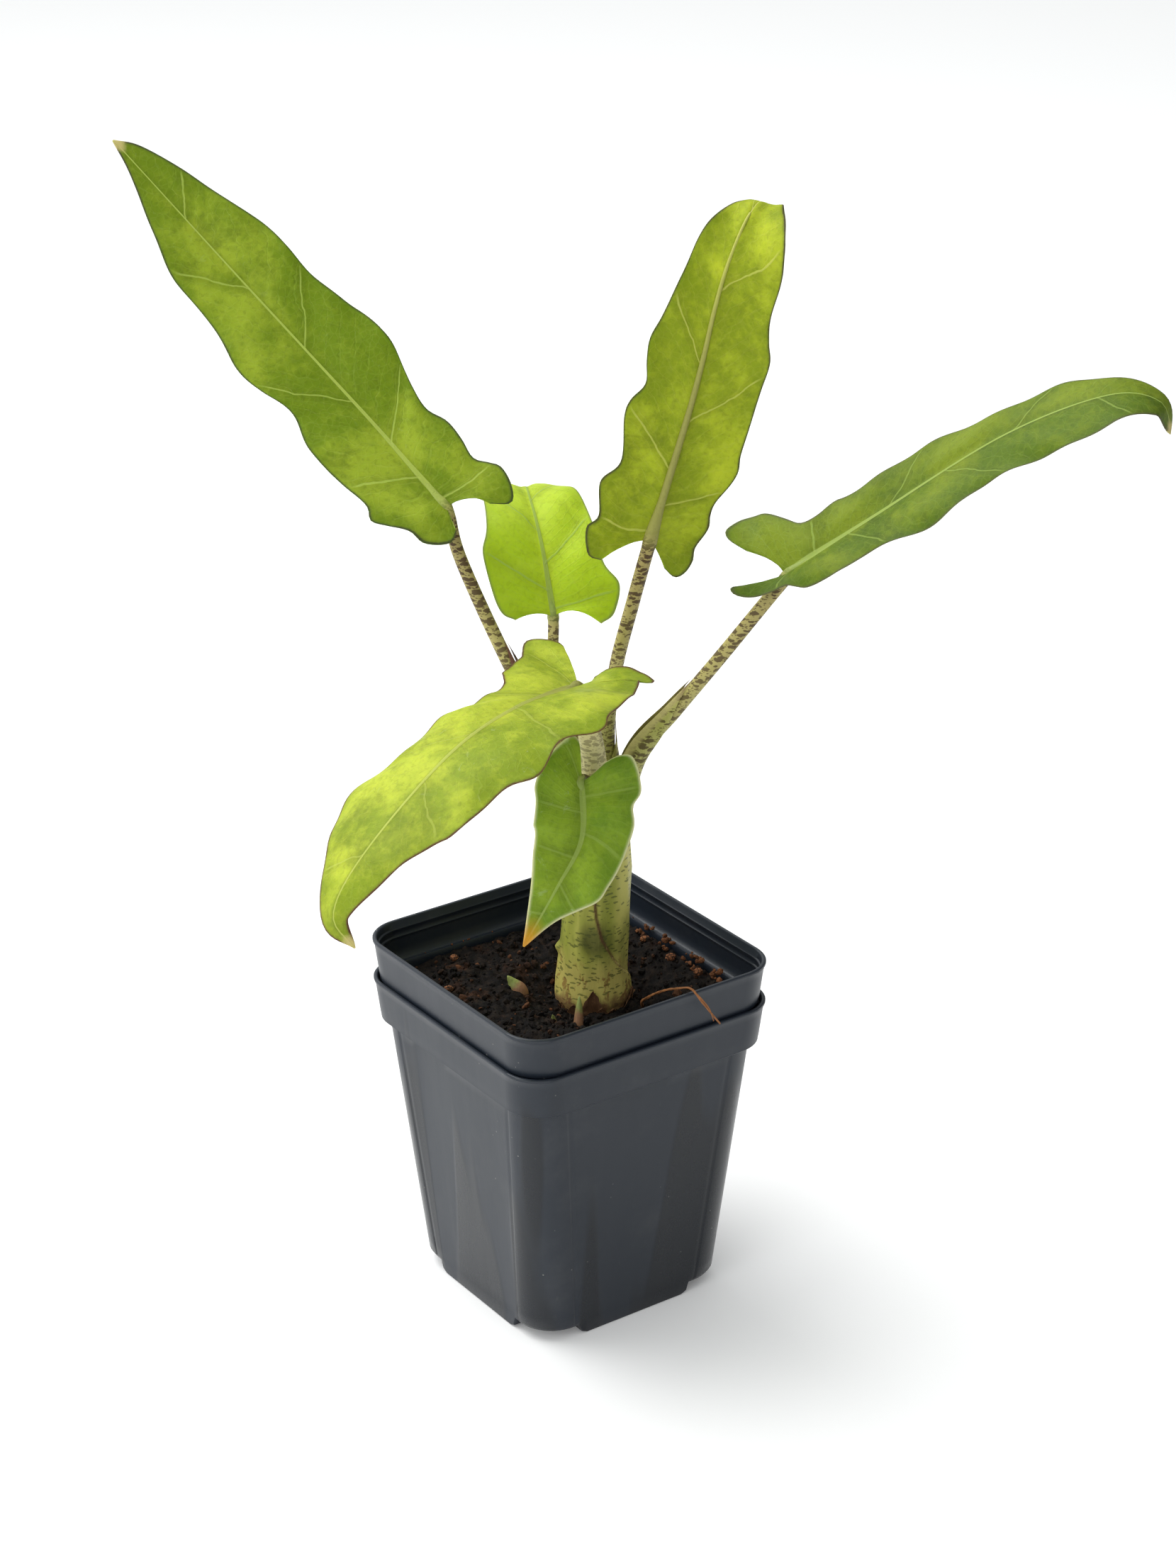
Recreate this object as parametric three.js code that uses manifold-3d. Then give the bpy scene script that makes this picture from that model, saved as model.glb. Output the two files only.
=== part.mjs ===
// Potted alocasia: a young plant in two nested square nursery pots.
// Millimetres, +Z up. The origin is the middle of the outer pot's underside.

import * as THREE from 'three';
import { mergeVertices } from 'three/addons/utils/BufferGeometryUtils.js';
import Module from 'manifold-3d';

const wasm = await Module();
wasm.setup();

// ---- driving dimensions -------------------------------------------------------------------

const GAP = 0.3;                    // clearance between pieces that touch

const RIM_HALF = 50;                // half width of the pot at its rim
const POT_HEIGHT = 107.6;
const COLLAR_HEIGHT = 15;
const COLLAR_HALF = 48.4;           // half width at the collar's lower edge
const SHOULDER_HALF = 46.3;         // half width of the body under the collar
const BASE_HALF = 37.8;             // half width of the body at the floor
const CORNER = 13;                  // outside radius of the rounded corners
const WALL = 1;
const FLOOR = 1.4;
const FOOT_HALF = 22;               // each side of the pot stands on a foot this far either way
const FOOT_HEIGHT = 3.8;            // the corners are raised this far off the table
const DRAIN_RADIUS = 3.5;
const DRAIN_PLACE = 28;
const NEST_RISE = 14.2;             // how far the inner pot stands above the outer one
const ARC_STEPS = 5;

const MIX_LEVEL = 106;              // top of the mix where it meets the wall
const MIX_HOLLOW = 8;               // how much lower it lies beside the plant
const HOLLOW_PLACE = new THREE.Vector2(10, -6);
const HOLLOW_INNER = 12;            // the mix is at its lowest within this distance
const HOLLOW_OUTER = 34;            // and at its highest beyond this one

const STEM_FOOT = new THREE.Vector3(10.5, 3.5, 80);
const STEM_TOP = new THREE.Vector3(15, 0.5, 168);
const STEM_PROFILE = [[0, 5], [4, 9.5], [12, 12], [22, 12.4], [30, 11.6], [42, 11.2], [66, 10.4], [88, 9.2]];

const STALK_RING = 5.6;             // the stalks leave the pseudostem's top on this circle
const STALK_FOOT_RADIUS = 2.5;
const STALK_SIDES = 8;
const STALK_STEPS = 10;

const BLADE_THICKNESS = 1;
const BLADE_ROWS = 16;
const BLADE_COLUMNS = 6;
const BLADE_CURL = 0.004;           // how fast a blade's sides turn down towards the margin
const TIP_HALF = 0.5;
const VEIN_SWEEP = 1.8;             // above 1, the side veins lean towards the tip
const LOBE_SHARE = 0.25;            // the part of the margin whose rows bend round the stalk
const LEFT = 0;
const RIGHT = 1;

// ---- colours ------------------------------------------------------------------------------

const paint = (color, roughness) => new THREE.MeshStandardMaterial({ color, roughness, metalness: 0 });
const BLACK_PLASTIC = paint(0x2b2f36, 0.42);
const MIX = paint(0x2a1c15, 0.95);
const BARK = paint(0x7a3f24, 0.9);
const STEM_GREEN = paint(0x9aa053, 0.5);
const STALK_CREAM = paint(0xb7b577, 0.5);
const LEAF_GREEN = paint(0x6f9a2a, 0.45);
const PAPER_BROWN = paint(0x6d4526, 0.8);
const ROOT_BROWN = paint(0x9a5a2c, 0.7);

// ---- helpers ------------------------------------------------------------------------------

const radians = THREE.MathUtils.degToRad;

// One closed surface: shared vertices merged, flat triangles at poles dropped.
function closed(geometry) {
  geometry.deleteAttribute('normal');
  geometry.deleteAttribute('uv');
  const merged = mergeVertices(geometry, 1e-4);
  const corners = merged.index.array;
  const kept = [];
  for (let i = 0; i < corners.length; i += 3) {
    const [a, b, c] = corners.slice(i, i + 3);
    if (a !== b && b !== c && c !== a) kept.push(a, b, c);
  }
  merged.setIndex(kept);
  return merged;
}

function toSolid(geometry) {
  const mesh = new wasm.Mesh({
    numProp: 3,
    vertProperties: new Float32Array(geometry.attributes.position.array),
    triVerts: new Uint32Array(geometry.index.array),
  });
  return new wasm.Manifold(mesh);
}

function toGeometry(solid) {
  const { vertProperties, triVerts } = solid.getMesh();
  const geometry = new THREE.BufferGeometry();
  geometry.setAttribute('position', new THREE.BufferAttribute(new Float32Array(vertProperties), 3));
  geometry.setIndex(Array.from(triVerts));
  return geometry;
}

// Moves every vertex of a geometry to place(x, y, z).
function reshape(geometry, place) {
  const position = geometry.attributes.position;
  for (let i = 0; i < position.count; i++) {
    const p = place(position.getX(i), position.getY(i), position.getZ(i), i);
    position.setXYZ(i, p.x, p.y, p.z);
  }
  return closed(geometry);
}

function box(min, max) {
  const size = new THREE.Vector3().subVectors(max, min);
  const middle = new THREE.Vector3().addVectors(min, max).multiplyScalar(0.5);
  return closed(new THREE.BoxGeometry(size.x, size.y, size.z).translate(middle.x, middle.y, middle.z));
}

function add(group, name, geometry, material) {
  const mesh = new THREE.Mesh(geometry, material);
  mesh.name = name;
  group.add(mesh);
  return mesh;
}

// ---- pots ---------------------------------------------------------------------------------

// A profile of [half width, height, corner radius] turned into a square form with round corners.
// It is a lathe whose columns are laid out round the square instead of round a circle.
function squareForm(profile) {
  const columns = 4 * (ARC_STEPS + 1);
  const points = profile.map(([half, height]) => new THREE.Vector2(half, height));
  const lathe = new THREE.LatheGeometry(points, columns);
  return reshape(lathe, (x, y, z, index) => {
    const column = Math.floor(index / profile.length) % columns;
    const [half, height, radius] = profile[index % profile.length];
    const corner = Math.floor(column / (ARC_STEPS + 1));
    const angle = (corner + (column % (ARC_STEPS + 1)) / ARC_STEPS) * Math.PI / 2;
    const signX = corner === 0 || corner === 3 ? 1 : -1;
    const signY = corner < 2 ? 1 : -1;
    const core = half - radius;
    return new THREE.Vector3(
      signX * core + radius * Math.cos(angle), signY * core + radius * Math.sin(angle), height);
  });
}

// Half width of the pot's body at a height above its own foot.
function bodyHalf(height) {
  const shoulder = POT_HEIGHT - COLLAR_HEIGHT;
  return BASE_HALF + (SHOULDER_HALF - BASE_HALF) * height / shoulder;
}

// The four corner blocks, from z below the pot up to a top, starting at a distance from the middle.
function cornerBlocks(start, top) {
  const far = RIM_HALF + 10;
  let blocks = null;
  for (const sx of [1, -1]) {
    for (const sy of [1, -1]) {
      const min = new THREE.Vector3(Math.min(sx * start, sx * far), Math.min(sy * start, sy * far), -5);
      const max = new THREE.Vector3(Math.max(sx * start, sx * far), Math.max(sy * start, sy * far), top);
      const block = toSolid(box(min, max));
      blocks = blocks ? blocks.add(block) : block;
    }
  }
  return blocks;
}

function potInside(clearance, floor, top) {
  const radius = CORNER - WALL - clearance;
  const inset = WALL + clearance;
  const form = squareForm([
    [0, floor, 0],
    [bodyHalf(floor) - inset, floor, radius],
    [bodyHalf(top) - inset, top, radius],
    [0, top, 0],
  ]);
  const pockets = cornerBlocks(FOOT_HALF - WALL - clearance, FOOT_HEIGHT + FLOOR + clearance);
  return toSolid(form).subtract(pockets);
}

function pot() {
  const shoulder = POT_HEIGHT - COLLAR_HEIGHT;
  const outside = toSolid(squareForm([
    [0, 0, 0],
    [BASE_HALF, 0, CORNER],
    [SHOULDER_HALF, shoulder, CORNER],
    [COLLAR_HALF, shoulder, CORNER],
    [RIM_HALF, POT_HEIGHT, CORNER],
    [0, POT_HEIGHT, 0],
  ]));
  const ledge = shoulder + WALL;
  const collarInside = toSolid(squareForm([
    [0, ledge, 0],
    [COLLAR_HALF - WALL, ledge, CORNER - WALL],
    [RIM_HALF - WALL + 0.2, POT_HEIGHT + 2, CORNER - WALL],
    [0, POT_HEIGHT + 2, 0],
  ]));
  let shell = outside
    .subtract(cornerBlocks(FOOT_HALF, FOOT_HEIGHT))
    .subtract(potInside(0, FLOOR, ledge + 0.5))
    .subtract(collarInside);
  for (const [sx, sy] of [[1, 1], [1, -1], [-1, 1], [-1, -1]]) {
    const drain = new THREE.CylinderGeometry(DRAIN_RADIUS, DRAIN_RADIUS, 20, 12);
    drain.rotateX(Math.PI / 2).translate(sx * DRAIN_PLACE, sy * DRAIN_PLACE, 0);
    shell = shell.subtract(toSolid(closed(drain)));
  }
  return toGeometry(shell);
}

// ---- potting mix --------------------------------------------------------------------------

function mixHeight(x, y) {
  const away = HOLLOW_PLACE.distanceTo(new THREE.Vector2(x, y));
  return MIX_LEVEL - MIX_HOLLOW * (1 - THREE.MathUtils.smoothstep(away, HOLLOW_INNER, HOLLOW_OUTER));
}

// The mix fills the pot up to a top that is hollowed round the plant.
function pottingMix(stem) {
  const body = potInside(GAP, FLOOR + GAP, MIX_LEVEL + 1 - NEST_RISE);
  const size = 2 * RIM_HALF;
  const layer = reshape(new THREE.BoxGeometry(size, size, 1, 20, 20, 1), (x, y, z) => (
    new THREE.Vector3(x, y, z > 0 ? mixHeight(x, y) - NEST_RISE : 0)
  ));
  const hole = toSolid(stem).translate([0, 0, -NEST_RISE]);
  return toGeometry(body.intersect(toSolid(layer)).subtract(hole));
}

// ---- pseudostem ---------------------------------------------------------------------------

// A round form that leans from STEM_FOOT to STEM_TOP. grow makes it larger all over.
function stemForm(grow) {
  const height = STEM_TOP.z - STEM_FOOT.z;
  const profile = STEM_PROFILE.map(([level, radius]) => new THREE.Vector2(radius + grow, level));
  profile.unshift(new THREE.Vector2(0, 0));
  profile.push(new THREE.Vector2(0, height));
  for (const point of profile) point.y += point.y === 0 ? -grow : point.y === height ? grow : 0;
  return reshape(new THREE.LatheGeometry(profile, 20).rotateX(Math.PI / 2), (x, y, z) => {
    const axis = new THREE.Vector3().lerpVectors(STEM_FOOT, STEM_TOP, z / height);
    return new THREE.Vector3(axis.x + x, axis.y + y, axis.z);
  });
}

function stemRadius(z) {
  const height = z - STEM_FOOT.z;
  const above = STEM_PROFILE.findIndex(([h]) => h > height);
  const [h0, r0] = STEM_PROFILE[above - 1];
  const [h1, r1] = STEM_PROFILE[above];
  return r0 + (r1 - r0) * (height - h0) / (h1 - h0);
}

const SCALE_THICKNESS = 0.7;
const SCALE_TAPER = 0.9;
const SCALES = [
  { name: 'papery_scale_front', facing: -125, width: 9, height: 7, lean: 0.6 },
  { name: 'papery_scale_side', facing: -50, width: 8, height: 4, lean: 0.8 },
];

// A dry pointed scale standing against the pseudostem's foot.
function paperyScale({ facing, width, height, lean }) {
  const foot = MIX_LEVEL - MIX_HOLLOW + 2 * GAP;
  return reshape(new THREE.BoxGeometry(1, 1, 1, 4, 4, 1), (x, y, z) => {
    const up = y + 0.5;
    const side = x * width * (1 - SCALE_TAPER * up);
    const level = foot + up * height;
    const axis = new THREE.Vector3().lerpVectors(STEM_FOOT, STEM_TOP,
      (level - STEM_FOOT.z) / (STEM_TOP.z - STEM_FOOT.z));
    const radius = stemRadius(foot) + 2 * GAP + (z + 0.5) * SCALE_THICKNESS + up * lean;
    const angle = radians(facing) + side / radius;
    return new THREE.Vector3(axis.x + radius * Math.cos(angle), axis.y + radius * Math.sin(angle), level);
  });
}

// ---- stalks, roots and shoots -------------------------------------------------------------

const pointsOf = (list) => list.map(([x, y, z]) => new THREE.Vector3(x, y, z));
const smooth = (list) => new THREE.CatmullRomCurve3(list, false, 'catmullrom', 0.5);

// A round rod along a curve, its radius given by radiusAt(0..1).
function rod(curve, radiusAt, sides, steps) {
  const frames = curve.computeFrenetFrames(steps, false);
  return reshape(new THREE.CylinderGeometry(1, 1, 1, sides, steps), (x, y, z) => {
    const along = THREE.MathUtils.clamp(y + 0.5, 0, 1);
    const step = Math.round(along * steps);
    const radius = radiusAt(along);
    return curve.getPointAt(along)
      .addScaledVector(frames.normals[step], z * radius)
      .addScaledVector(frames.binormals[step], x * radius);
  });
}

const SHOOT_TAPER = 0.88;
const SHOOTS = [
  { name: 'offset_large', foot: [-12.4, 10.6, 106.8], tip: [-15.5, 12.8, 111], radius: 2.6 },
  { name: 'offset_small', foot: [-15.5, -14, 105.6], tip: [-16.5, -14.8, 108], radius: 1.2 },
  { name: 'old_stub', foot: [-5.5, -13.5, 100.9], tip: [-3.5, -11.5, 109.5], radius: 2 },
];

function shoot({ foot, tip, radius }) {
  const [start, end] = pointsOf([foot, tip]);
  const middle = start.clone().lerp(end, 0.5);
  const pointed = (t) => radius * (1 - SHOOT_TAPER * t * t);
  return rod(smooth([start, middle, end]), pointed, 8, 5);
}

// The dry root runs over the mix, climbs the wall and hangs over the rim.
const ROOT_PATH = [[20.5, -13.5, 99.5], [16, -20, 105.5], [14, -33, 115], [13.3, -45, 121.5], [13.5, -50, 123],
  [15, -53, 119.5], [18, -54, 115], [21.5, -54.5, 110]];
const ROOT_RADIUS = 0.7;
const ROOT_TIP_RADIUS = 0.4;

function dryRoot() {
  const radiusAt = (t) => ROOT_RADIUS + (ROOT_TIP_RADIUS - ROOT_RADIUS) * t;
  return rod(smooth(pointsOf(ROOT_PATH)), radiusAt, 6, 24);
}

// Coarse chips of bark that lie on the mix.
const CHIPS = [
  { at: [40, 12, 107.7], size: [2.2, 1.6, 1.3] }, { at: [39, -4, 107.8], size: [1.8, 2.4, 1.4] },
  { at: [40, -18, 107.9], size: [2, 1.7, 1.5] }, { at: [38, -31, 107.6], size: [1.6, 2, 1.2] },
  { at: [-20, 38, 107.7], size: [2, 1.5, 1.3] }, { at: [-34, 20, 107.8], size: [1.7, 2.1, 1.4] },
];

// ---- leaves -------------------------------------------------------------------------------

// rib: points on the midrib from the stalk to the tip. face and tipFace: which way the upper
// side looks at each end. left and right: the margins, as [distance along the rib, distance out],
// from the inner corner of the basal lobe (behind the stalk, so negative) round to the tip.
// sinus: what the edge between the stalk and that corner bends towards, left and right.
// cup and tipCup: how far the two halves fold up, in degrees. lift: how fast the lobes rise
// behind the stalk. stalk: points between the pseudostem and the blade, and ring: the side of
// the pseudostem that the stalk leaves from.
const LEAVES = [
  {
    name: 'left',
    rib: [[-19, 38, 267], [-32, 64, 293], [-53, 98, 330], [-79, 134, 374]],
    face: [-0.24, -0.87, 0.45], tipFace: [-0.24, -0.87, 0.45], cup: 10, tipCup: 8, lift: 0,
    left: [[-8, 3], [-9.6, 7.5], [-4.5, 14], [1.2, 15.2], [7, 19.5], [11.5, 22.4], [16, 20.4],
      [26, 21.6], [42, 22], [54, 18], [66, 20.6], [77, 21.4], [91, 17.6], [111, 16.6], [127, 10.8],
      [145, 3.4]],
    right: [[-8, 11.3], [-12, 17], [-8, 20.6], [-1.3, 22.2], [2.4, 20.4], [7, 17.4], [14, 18.4],
      [21.5, 18.8], [28.5, 16.4], [36.5, 17.6], [49, 22.2], [56, 23], [63, 22.6], [71, 20.6],
      [83, 18.4], [95, 18.5], [106, 18.2], [118, 14.6], [134, 10.6], [149, 5.4]],
    sinus: [[-2.5, 0.8], [0, 7.5]],
    ring: 140, stalk: [[4, 10, 184], [-7, 23, 217], [-16, 35, 250]], radius: 2,
  },
  {
    name: 'upright',
    rib: [[26, -9, 261], [33, -22, 310], [37, -29, 343], [43, -32, 362], [53, -28, 368], [66, -14, 353]],
    face: [0.49, 0.88, 0.1], tipFace: [0.1, 0.1, -1], cup: 12, tipCup: -3, lift: 0,
    left: [[-10.3, 8], [-13, 12.4], [-11, 15.5], [-6.6, 16.8], [-1.5, 16.1], [6.6, 17.9], [11.3, 17.1],
      [16.7, 17.3], [27.6, 20.6], [35, 19.7], [45, 19.3], [58, 19.5], [68, 20], [74, 18.4], [82, 17.3],
      [95, 17.9], [102, 17], [110, 13], [117, 8], [125, 5.5], [134, 3.5]],
    right: [[-11.5, 13], [-10.8, 17.4], [-1.7, 20.3], [3.7, 17.8], [15.3, 20.2], [23.9, 15.9],
      [38.7, 18.8], [45, 18.4], [51, 15.2], [59, 16.6], [67, 17.2], [75, 14.9], [88, 12.2], [98, 11.6],
      [105, 10.2], [113, 6.8], [118, 3.8], [126, 3], [135, 2]],
    sinus: [[-5, 4.6], [-4, 6]],
    ring: 20, stalk: [[19, 4, 190], [20, 1, 215], [23, -4, 238]], radius: 2.1,
  },
  {
    name: 'right',
    rib: [[57, -38, 251], [76, -58, 272], [103, -85, 300], [125, -106, 314], [137, -117, 313],
      [140, -120, 303]],
    face: [-0.39, -0.21, 0.9], tipFace: [0.21, -0.57, 0.9], cup: 20, tipCup: 4, lift: 0.04,
    left: [[-8.3, 13.3], [-11.4, 18], [-11, 22.4], [-6.7, 26], [-1, 25], [2.4, 22.7], [7.2, 17.6],
      [11.3, 13.4], [18, 12], [24.6, 13.5], [30, 13.2], [59, 13], [85, 10], [106, 11], [126, 7],
      [137, 4]],
    right: [[-10, 0.5], [-14.2, 2], [-14, 6], [-11, 8], [-4.6, 8.4], [1.2, 9.6], [5, 13], [8.7, 16],
      [16, 17.7], [22, 17.1], [32, 16], [53, 19], [70, 15], [94, 16], [107, 16], [119, 13], [130, 9],
      [139, 4]],
    sinus: [[-0.2, 7], [-5, 0.5]],
    ring: -40, stalk: [[23, -7, 186], [32, -15, 203], [43, -25, 223]], radius: 2.1,
  },
  {
    name: 'back',
    rib: [[14, 27, 226], [18, 39, 245], [24, 54, 255], [33, 72, 253], [44, 98, 230]],
    face: [-0.38, -0.71, 0.6], tipFace: [0.35, 0.49, 0.8], cup: 12, tipCup: 6, lift: 0,
    left: [[0, 13], [3, 17], [11, 19], [23, 20], [32, 17], [48, 15], [60, 12], [82, 6]],
    right: [[-5, 15], [-2, 20], [7, 23], [15, 19], [30, 18], [45, 17], [62, 12], [84, 5]],
    sinus: [[3, 6], [3, 7]],
    ring: 80, stalk: [[13, 14, 187], [11, 22, 207]], radius: 1.8,
  },
  {
    name: 'arching',
    rib: [[0, -7, 217], [-36, -26, 225], [-67, -36, 221], [-99, -40, 200], [-112, -41, 183],
      [-109, -47, 173]],
    face: [-0.06, -0.08, 1], tipFace: [-0.78, -0.06, 0.5], cup: 12, tipCup: -5, lift: 0.015,
    left: [[-9.8, 0.6], [-13.9, 1.8], [-15.4, 4.6], [-15.3, 9.2], [-14, 14.3], [-13.5, 17.8],
      [-11.6, 21.2], [-10, 20.8], [-10, 17], [-3.5, 19.3], [11.3, 23.6], [25, 25.2], [35, 27.8],
      [41.5, 30], [54, 25], [68, 28], [78, 23], [96, 21], [104, 17], [130, 8]],
    right: [[-14, 12], [-17.5, 16], [-16.8, 21.6], [-14.7, 28], [-8, 25.5], [-3.4, 23.4], [4, 22.6],
      [10.8, 22], [17, 18.5], [24.6, 15.1], [45, 13.9], [56, 18], [78, 18], [98, 26], [110, 23],
      [126, 14], [137, 6]],
    sinus: [[-1, 3], [-6.9, 5.9]],
    ring: 200, stalk: [[7, -5, 184], [4, -7, 200]], radius: 2,
  },
  {
    name: 'front',
    rib: [[-4, -14, 187], [-9, -21, 171], [-21, -24, 158], [-33, -23, 141]],
    face: [-0.32, -0.63, 0.7], tipFace: [-0.44, -0.79, 0.4], cup: 20, tipCup: 8, lift: 0,
    left: [[-6.2, 8], [-8.1, 12.1], [-8, 16.2], [-4.2, 18.5], [1, 19.5], [5.2, 19], [8.8, 16.2],
      [13.4, 16.4], [18.4, 15], [27, 14], [34, 13], [45, 5]],
    right: [[-8.5, 0.3], [-13, 0.8], [-15, 3], [-13.7, 5.5], [-7.3, 12.4], [0.5, 16.1], [5.2, 16],
      [16.2, 16.4], [28.5, 13], [37, 8.6], [48, 4]],
    sinus: [[-2, 3.6], [-4, 0.1]],
    ring: 260, stalk: [[9, -9, 178]], radius: 1.7,
  },
];

// A leaf's shape with its rib and margins as curves.
function grown(shape) {
  const curve = smooth(pointsOf(shape.rib));
  const length = curve.getLength();
  const margin = (points) => smooth(pointsOf([...points, [length, TIP_HALF]].map(([x, y]) => [x, y, 0])));
  return {
    ...shape,
    curve,
    length,
    margins: [margin(shape.left), margin(shape.right)],
    face: new THREE.Vector3(...shape.face),
    tipFace: new THREE.Vector3(...shape.tipFace),
  };
}

// The frame of a leaf at a distance along its rib: place, tangent, upper side and right hand.
function ribFrame(leaf, distance) {
  const curve = leaf.curve;
  const held = THREE.MathUtils.clamp(distance, 0, leaf.length);
  const along = held / leaf.length;
  const tangent = curve.getTangentAt(along);
  const place = curve.getPointAt(along).addScaledVector(tangent, distance - held);
  const up = leaf.face.clone().lerp(leaf.tipFace, along);
  up.addScaledVector(tangent, -up.dot(tangent)).normalize();
  return { place, tangent, up, right: tangent.clone().cross(up) };
}

// A point of a blade's middle surface, from a distance along the rib and a distance out.
function bladePoint(leaf, distance, out, offset) {
  const { place, up, right } = ribFrame(leaf, distance);
  const along = THREE.MathUtils.clamp(2 * distance / leaf.length, 0, 1);
  const cup = radians(THREE.MathUtils.lerp(leaf.cup, leaf.tipCup, along));
  const width = Math.abs(out);
  const behind = Math.max(0, -distance);
  const rise = width * Math.sin(cup) - BLADE_CURL * width * width + leaf.lift * behind * behind;
  return place.addScaledVector(right, out * Math.cos(cup)).addScaledVector(up, rise + offset);
}

// A point of the flat blade. t runs round the margin from the lobe to the tip, and across
// from the rib to the margin, on a row that starts as the edge beside the stalk and straightens.
function rowPoint(leaf, side, t, across) {
  const margin = leaf.margins[side].getPointAt(t);
  const ribEnd = new THREE.Vector3(leaf.length * t ** VEIN_SWEEP, 0, 0);
  const straight = ribEnd.clone().lerp(margin, 0.5);
  const bend = new THREE.Vector3(...leaf.sinus[side], 0);
  bend.lerp(straight, THREE.MathUtils.smoothstep(t, 0, LOBE_SHARE));
  return new THREE.QuadraticBezierCurve3(ribEnd, bend, margin).getPoint(across);
}

// A blade is a slab whose rows run out from the rib to the margin, as the side veins do.
function blade(leaf) {
  const slab = new THREE.BoxGeometry(1, 1, 1, BLADE_ROWS, BLADE_COLUMNS, 1);
  return reshape(slab, (x, y, z) => {
    const side = y > 0 ? LEFT : RIGHT;
    const t = THREE.MathUtils.clamp(x + 0.5, 0, 1);
    const point = rowPoint(leaf, side, t, Math.abs(2 * y));
    const out = side === LEFT ? -point.y : point.y;
    return bladePoint(leaf, point.x, out, z * BLADE_THICKNESS);
  });
}

function stalk(leaf) {
  const angle = radians(leaf.ring);
  const start = new THREE.Vector3(
    STEM_TOP.x + STALK_RING * Math.cos(angle), STEM_TOP.y + STALK_RING * Math.sin(angle), STEM_TOP.z - 1);
  const via = pointsOf(leaf.stalk);
  const { place, up } = ribFrame(leaf, 0);
  const arriving = place.clone().sub(via[via.length - 1]).normalize();
  const lean = Math.sqrt(1 - arriving.dot(up) ** 2);
  const end = place.addScaledVector(up, -(leaf.radius * lean + BLADE_THICKNESS / 2 + 2 * GAP));
  const radiusAt = (t) => STALK_FOOT_RADIUS + (leaf.radius - STALK_FOOT_RADIUS) * t;
  const whole = rod(smooth([start, ...via, end]), radiusAt, STALK_SIDES, STALK_STEPS);
  return toGeometry(toSolid(whole).subtract(toSolid(stemForm(GAP))));
}

// ---- assembly -----------------------------------------------------------------------------

const plant = new THREE.Group();

add(plant, 'outer_pot', pot(), BLACK_PLASTIC);
const innerPot = add(plant, 'inner_pot', pot(), BLACK_PLASTIC);
innerPot.position.z = NEST_RISE;
const mix = add(plant, 'potting_mix', pottingMix(stemForm(GAP)), MIX);
mix.position.z = NEST_RISE;
add(plant, 'pseudostem', stemForm(0), STEM_GREEN);

for (const scale of SCALES) add(plant, scale.name, paperyScale(scale), PAPER_BROWN);

for (const shape of LEAVES) {
  const leaf = grown(shape);
  add(plant, `blade_${leaf.name}`, blade(leaf), LEAF_GREEN);
  add(plant, `stalk_${leaf.name}`, stalk(leaf), STALK_CREAM);
}

for (const item of SHOOTS) add(plant, item.name, shoot(item), STEM_GREEN);
add(plant, 'dry_root', dryRoot(), ROOT_BROWN);

CHIPS.forEach(({ at, size }, i) => {
  const lump = closed(new THREE.IcosahedronGeometry(1, 1).scale(...size));
  const chip = add(plant, `bark_chip_${i + 1}`, lump, BARK);
  chip.position.set(...at);
  chip.rotation.z = i;
});

export default plant;
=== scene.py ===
"""A young potted alocasia: six leaves on speckled stalks, in two nested square nursery pots."""

import math
import random
from bisect import bisect_right

import bpy
from bpy.props import FloatProperty, FloatVectorProperty, IntProperty, PointerProperty
from mathutils import Euler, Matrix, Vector, noise


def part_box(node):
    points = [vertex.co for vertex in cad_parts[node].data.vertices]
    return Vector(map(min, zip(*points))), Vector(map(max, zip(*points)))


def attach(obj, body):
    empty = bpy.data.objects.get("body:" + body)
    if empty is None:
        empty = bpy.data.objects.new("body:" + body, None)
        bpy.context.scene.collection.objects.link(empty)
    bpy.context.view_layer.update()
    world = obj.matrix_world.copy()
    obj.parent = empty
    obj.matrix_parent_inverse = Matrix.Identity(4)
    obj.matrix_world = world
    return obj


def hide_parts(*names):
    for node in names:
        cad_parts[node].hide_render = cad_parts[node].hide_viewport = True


bl_info = {
    "name": "Potted Alocasia",
    "version": (1, 0, 0),
    "blender": (4, 5, 0),
    "location": "3D View > Sidebar > Alocasia",
    "description": "Models a young alocasia in two nested square nursery pots",
    "category": "Object",
}

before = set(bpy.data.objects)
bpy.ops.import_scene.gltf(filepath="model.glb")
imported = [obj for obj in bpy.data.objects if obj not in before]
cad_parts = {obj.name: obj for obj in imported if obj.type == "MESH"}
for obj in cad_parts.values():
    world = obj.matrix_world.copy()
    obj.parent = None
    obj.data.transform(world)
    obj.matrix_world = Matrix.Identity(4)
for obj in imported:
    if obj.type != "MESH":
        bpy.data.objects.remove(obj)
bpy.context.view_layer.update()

MM = 0.001
LEFT, RIGHT = 0, 1

# Pots, in millimetres, measured from each pot's own underside.
RIM_HALF = 50
POT_HEIGHT = 107.6
SHOULDER = 92.6
COLLAR_HALF = 48.4
SHOULDER_HALF = 46.3
BASE_HALF = 37.8
CORNER = 13
FOOT_HALF = 21.6
FOOT_HEIGHT = 3.8
DRAIN_RADIUS = 3.5
DRAIN_PLACE = 28
NEST_RISE = 14.2

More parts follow.
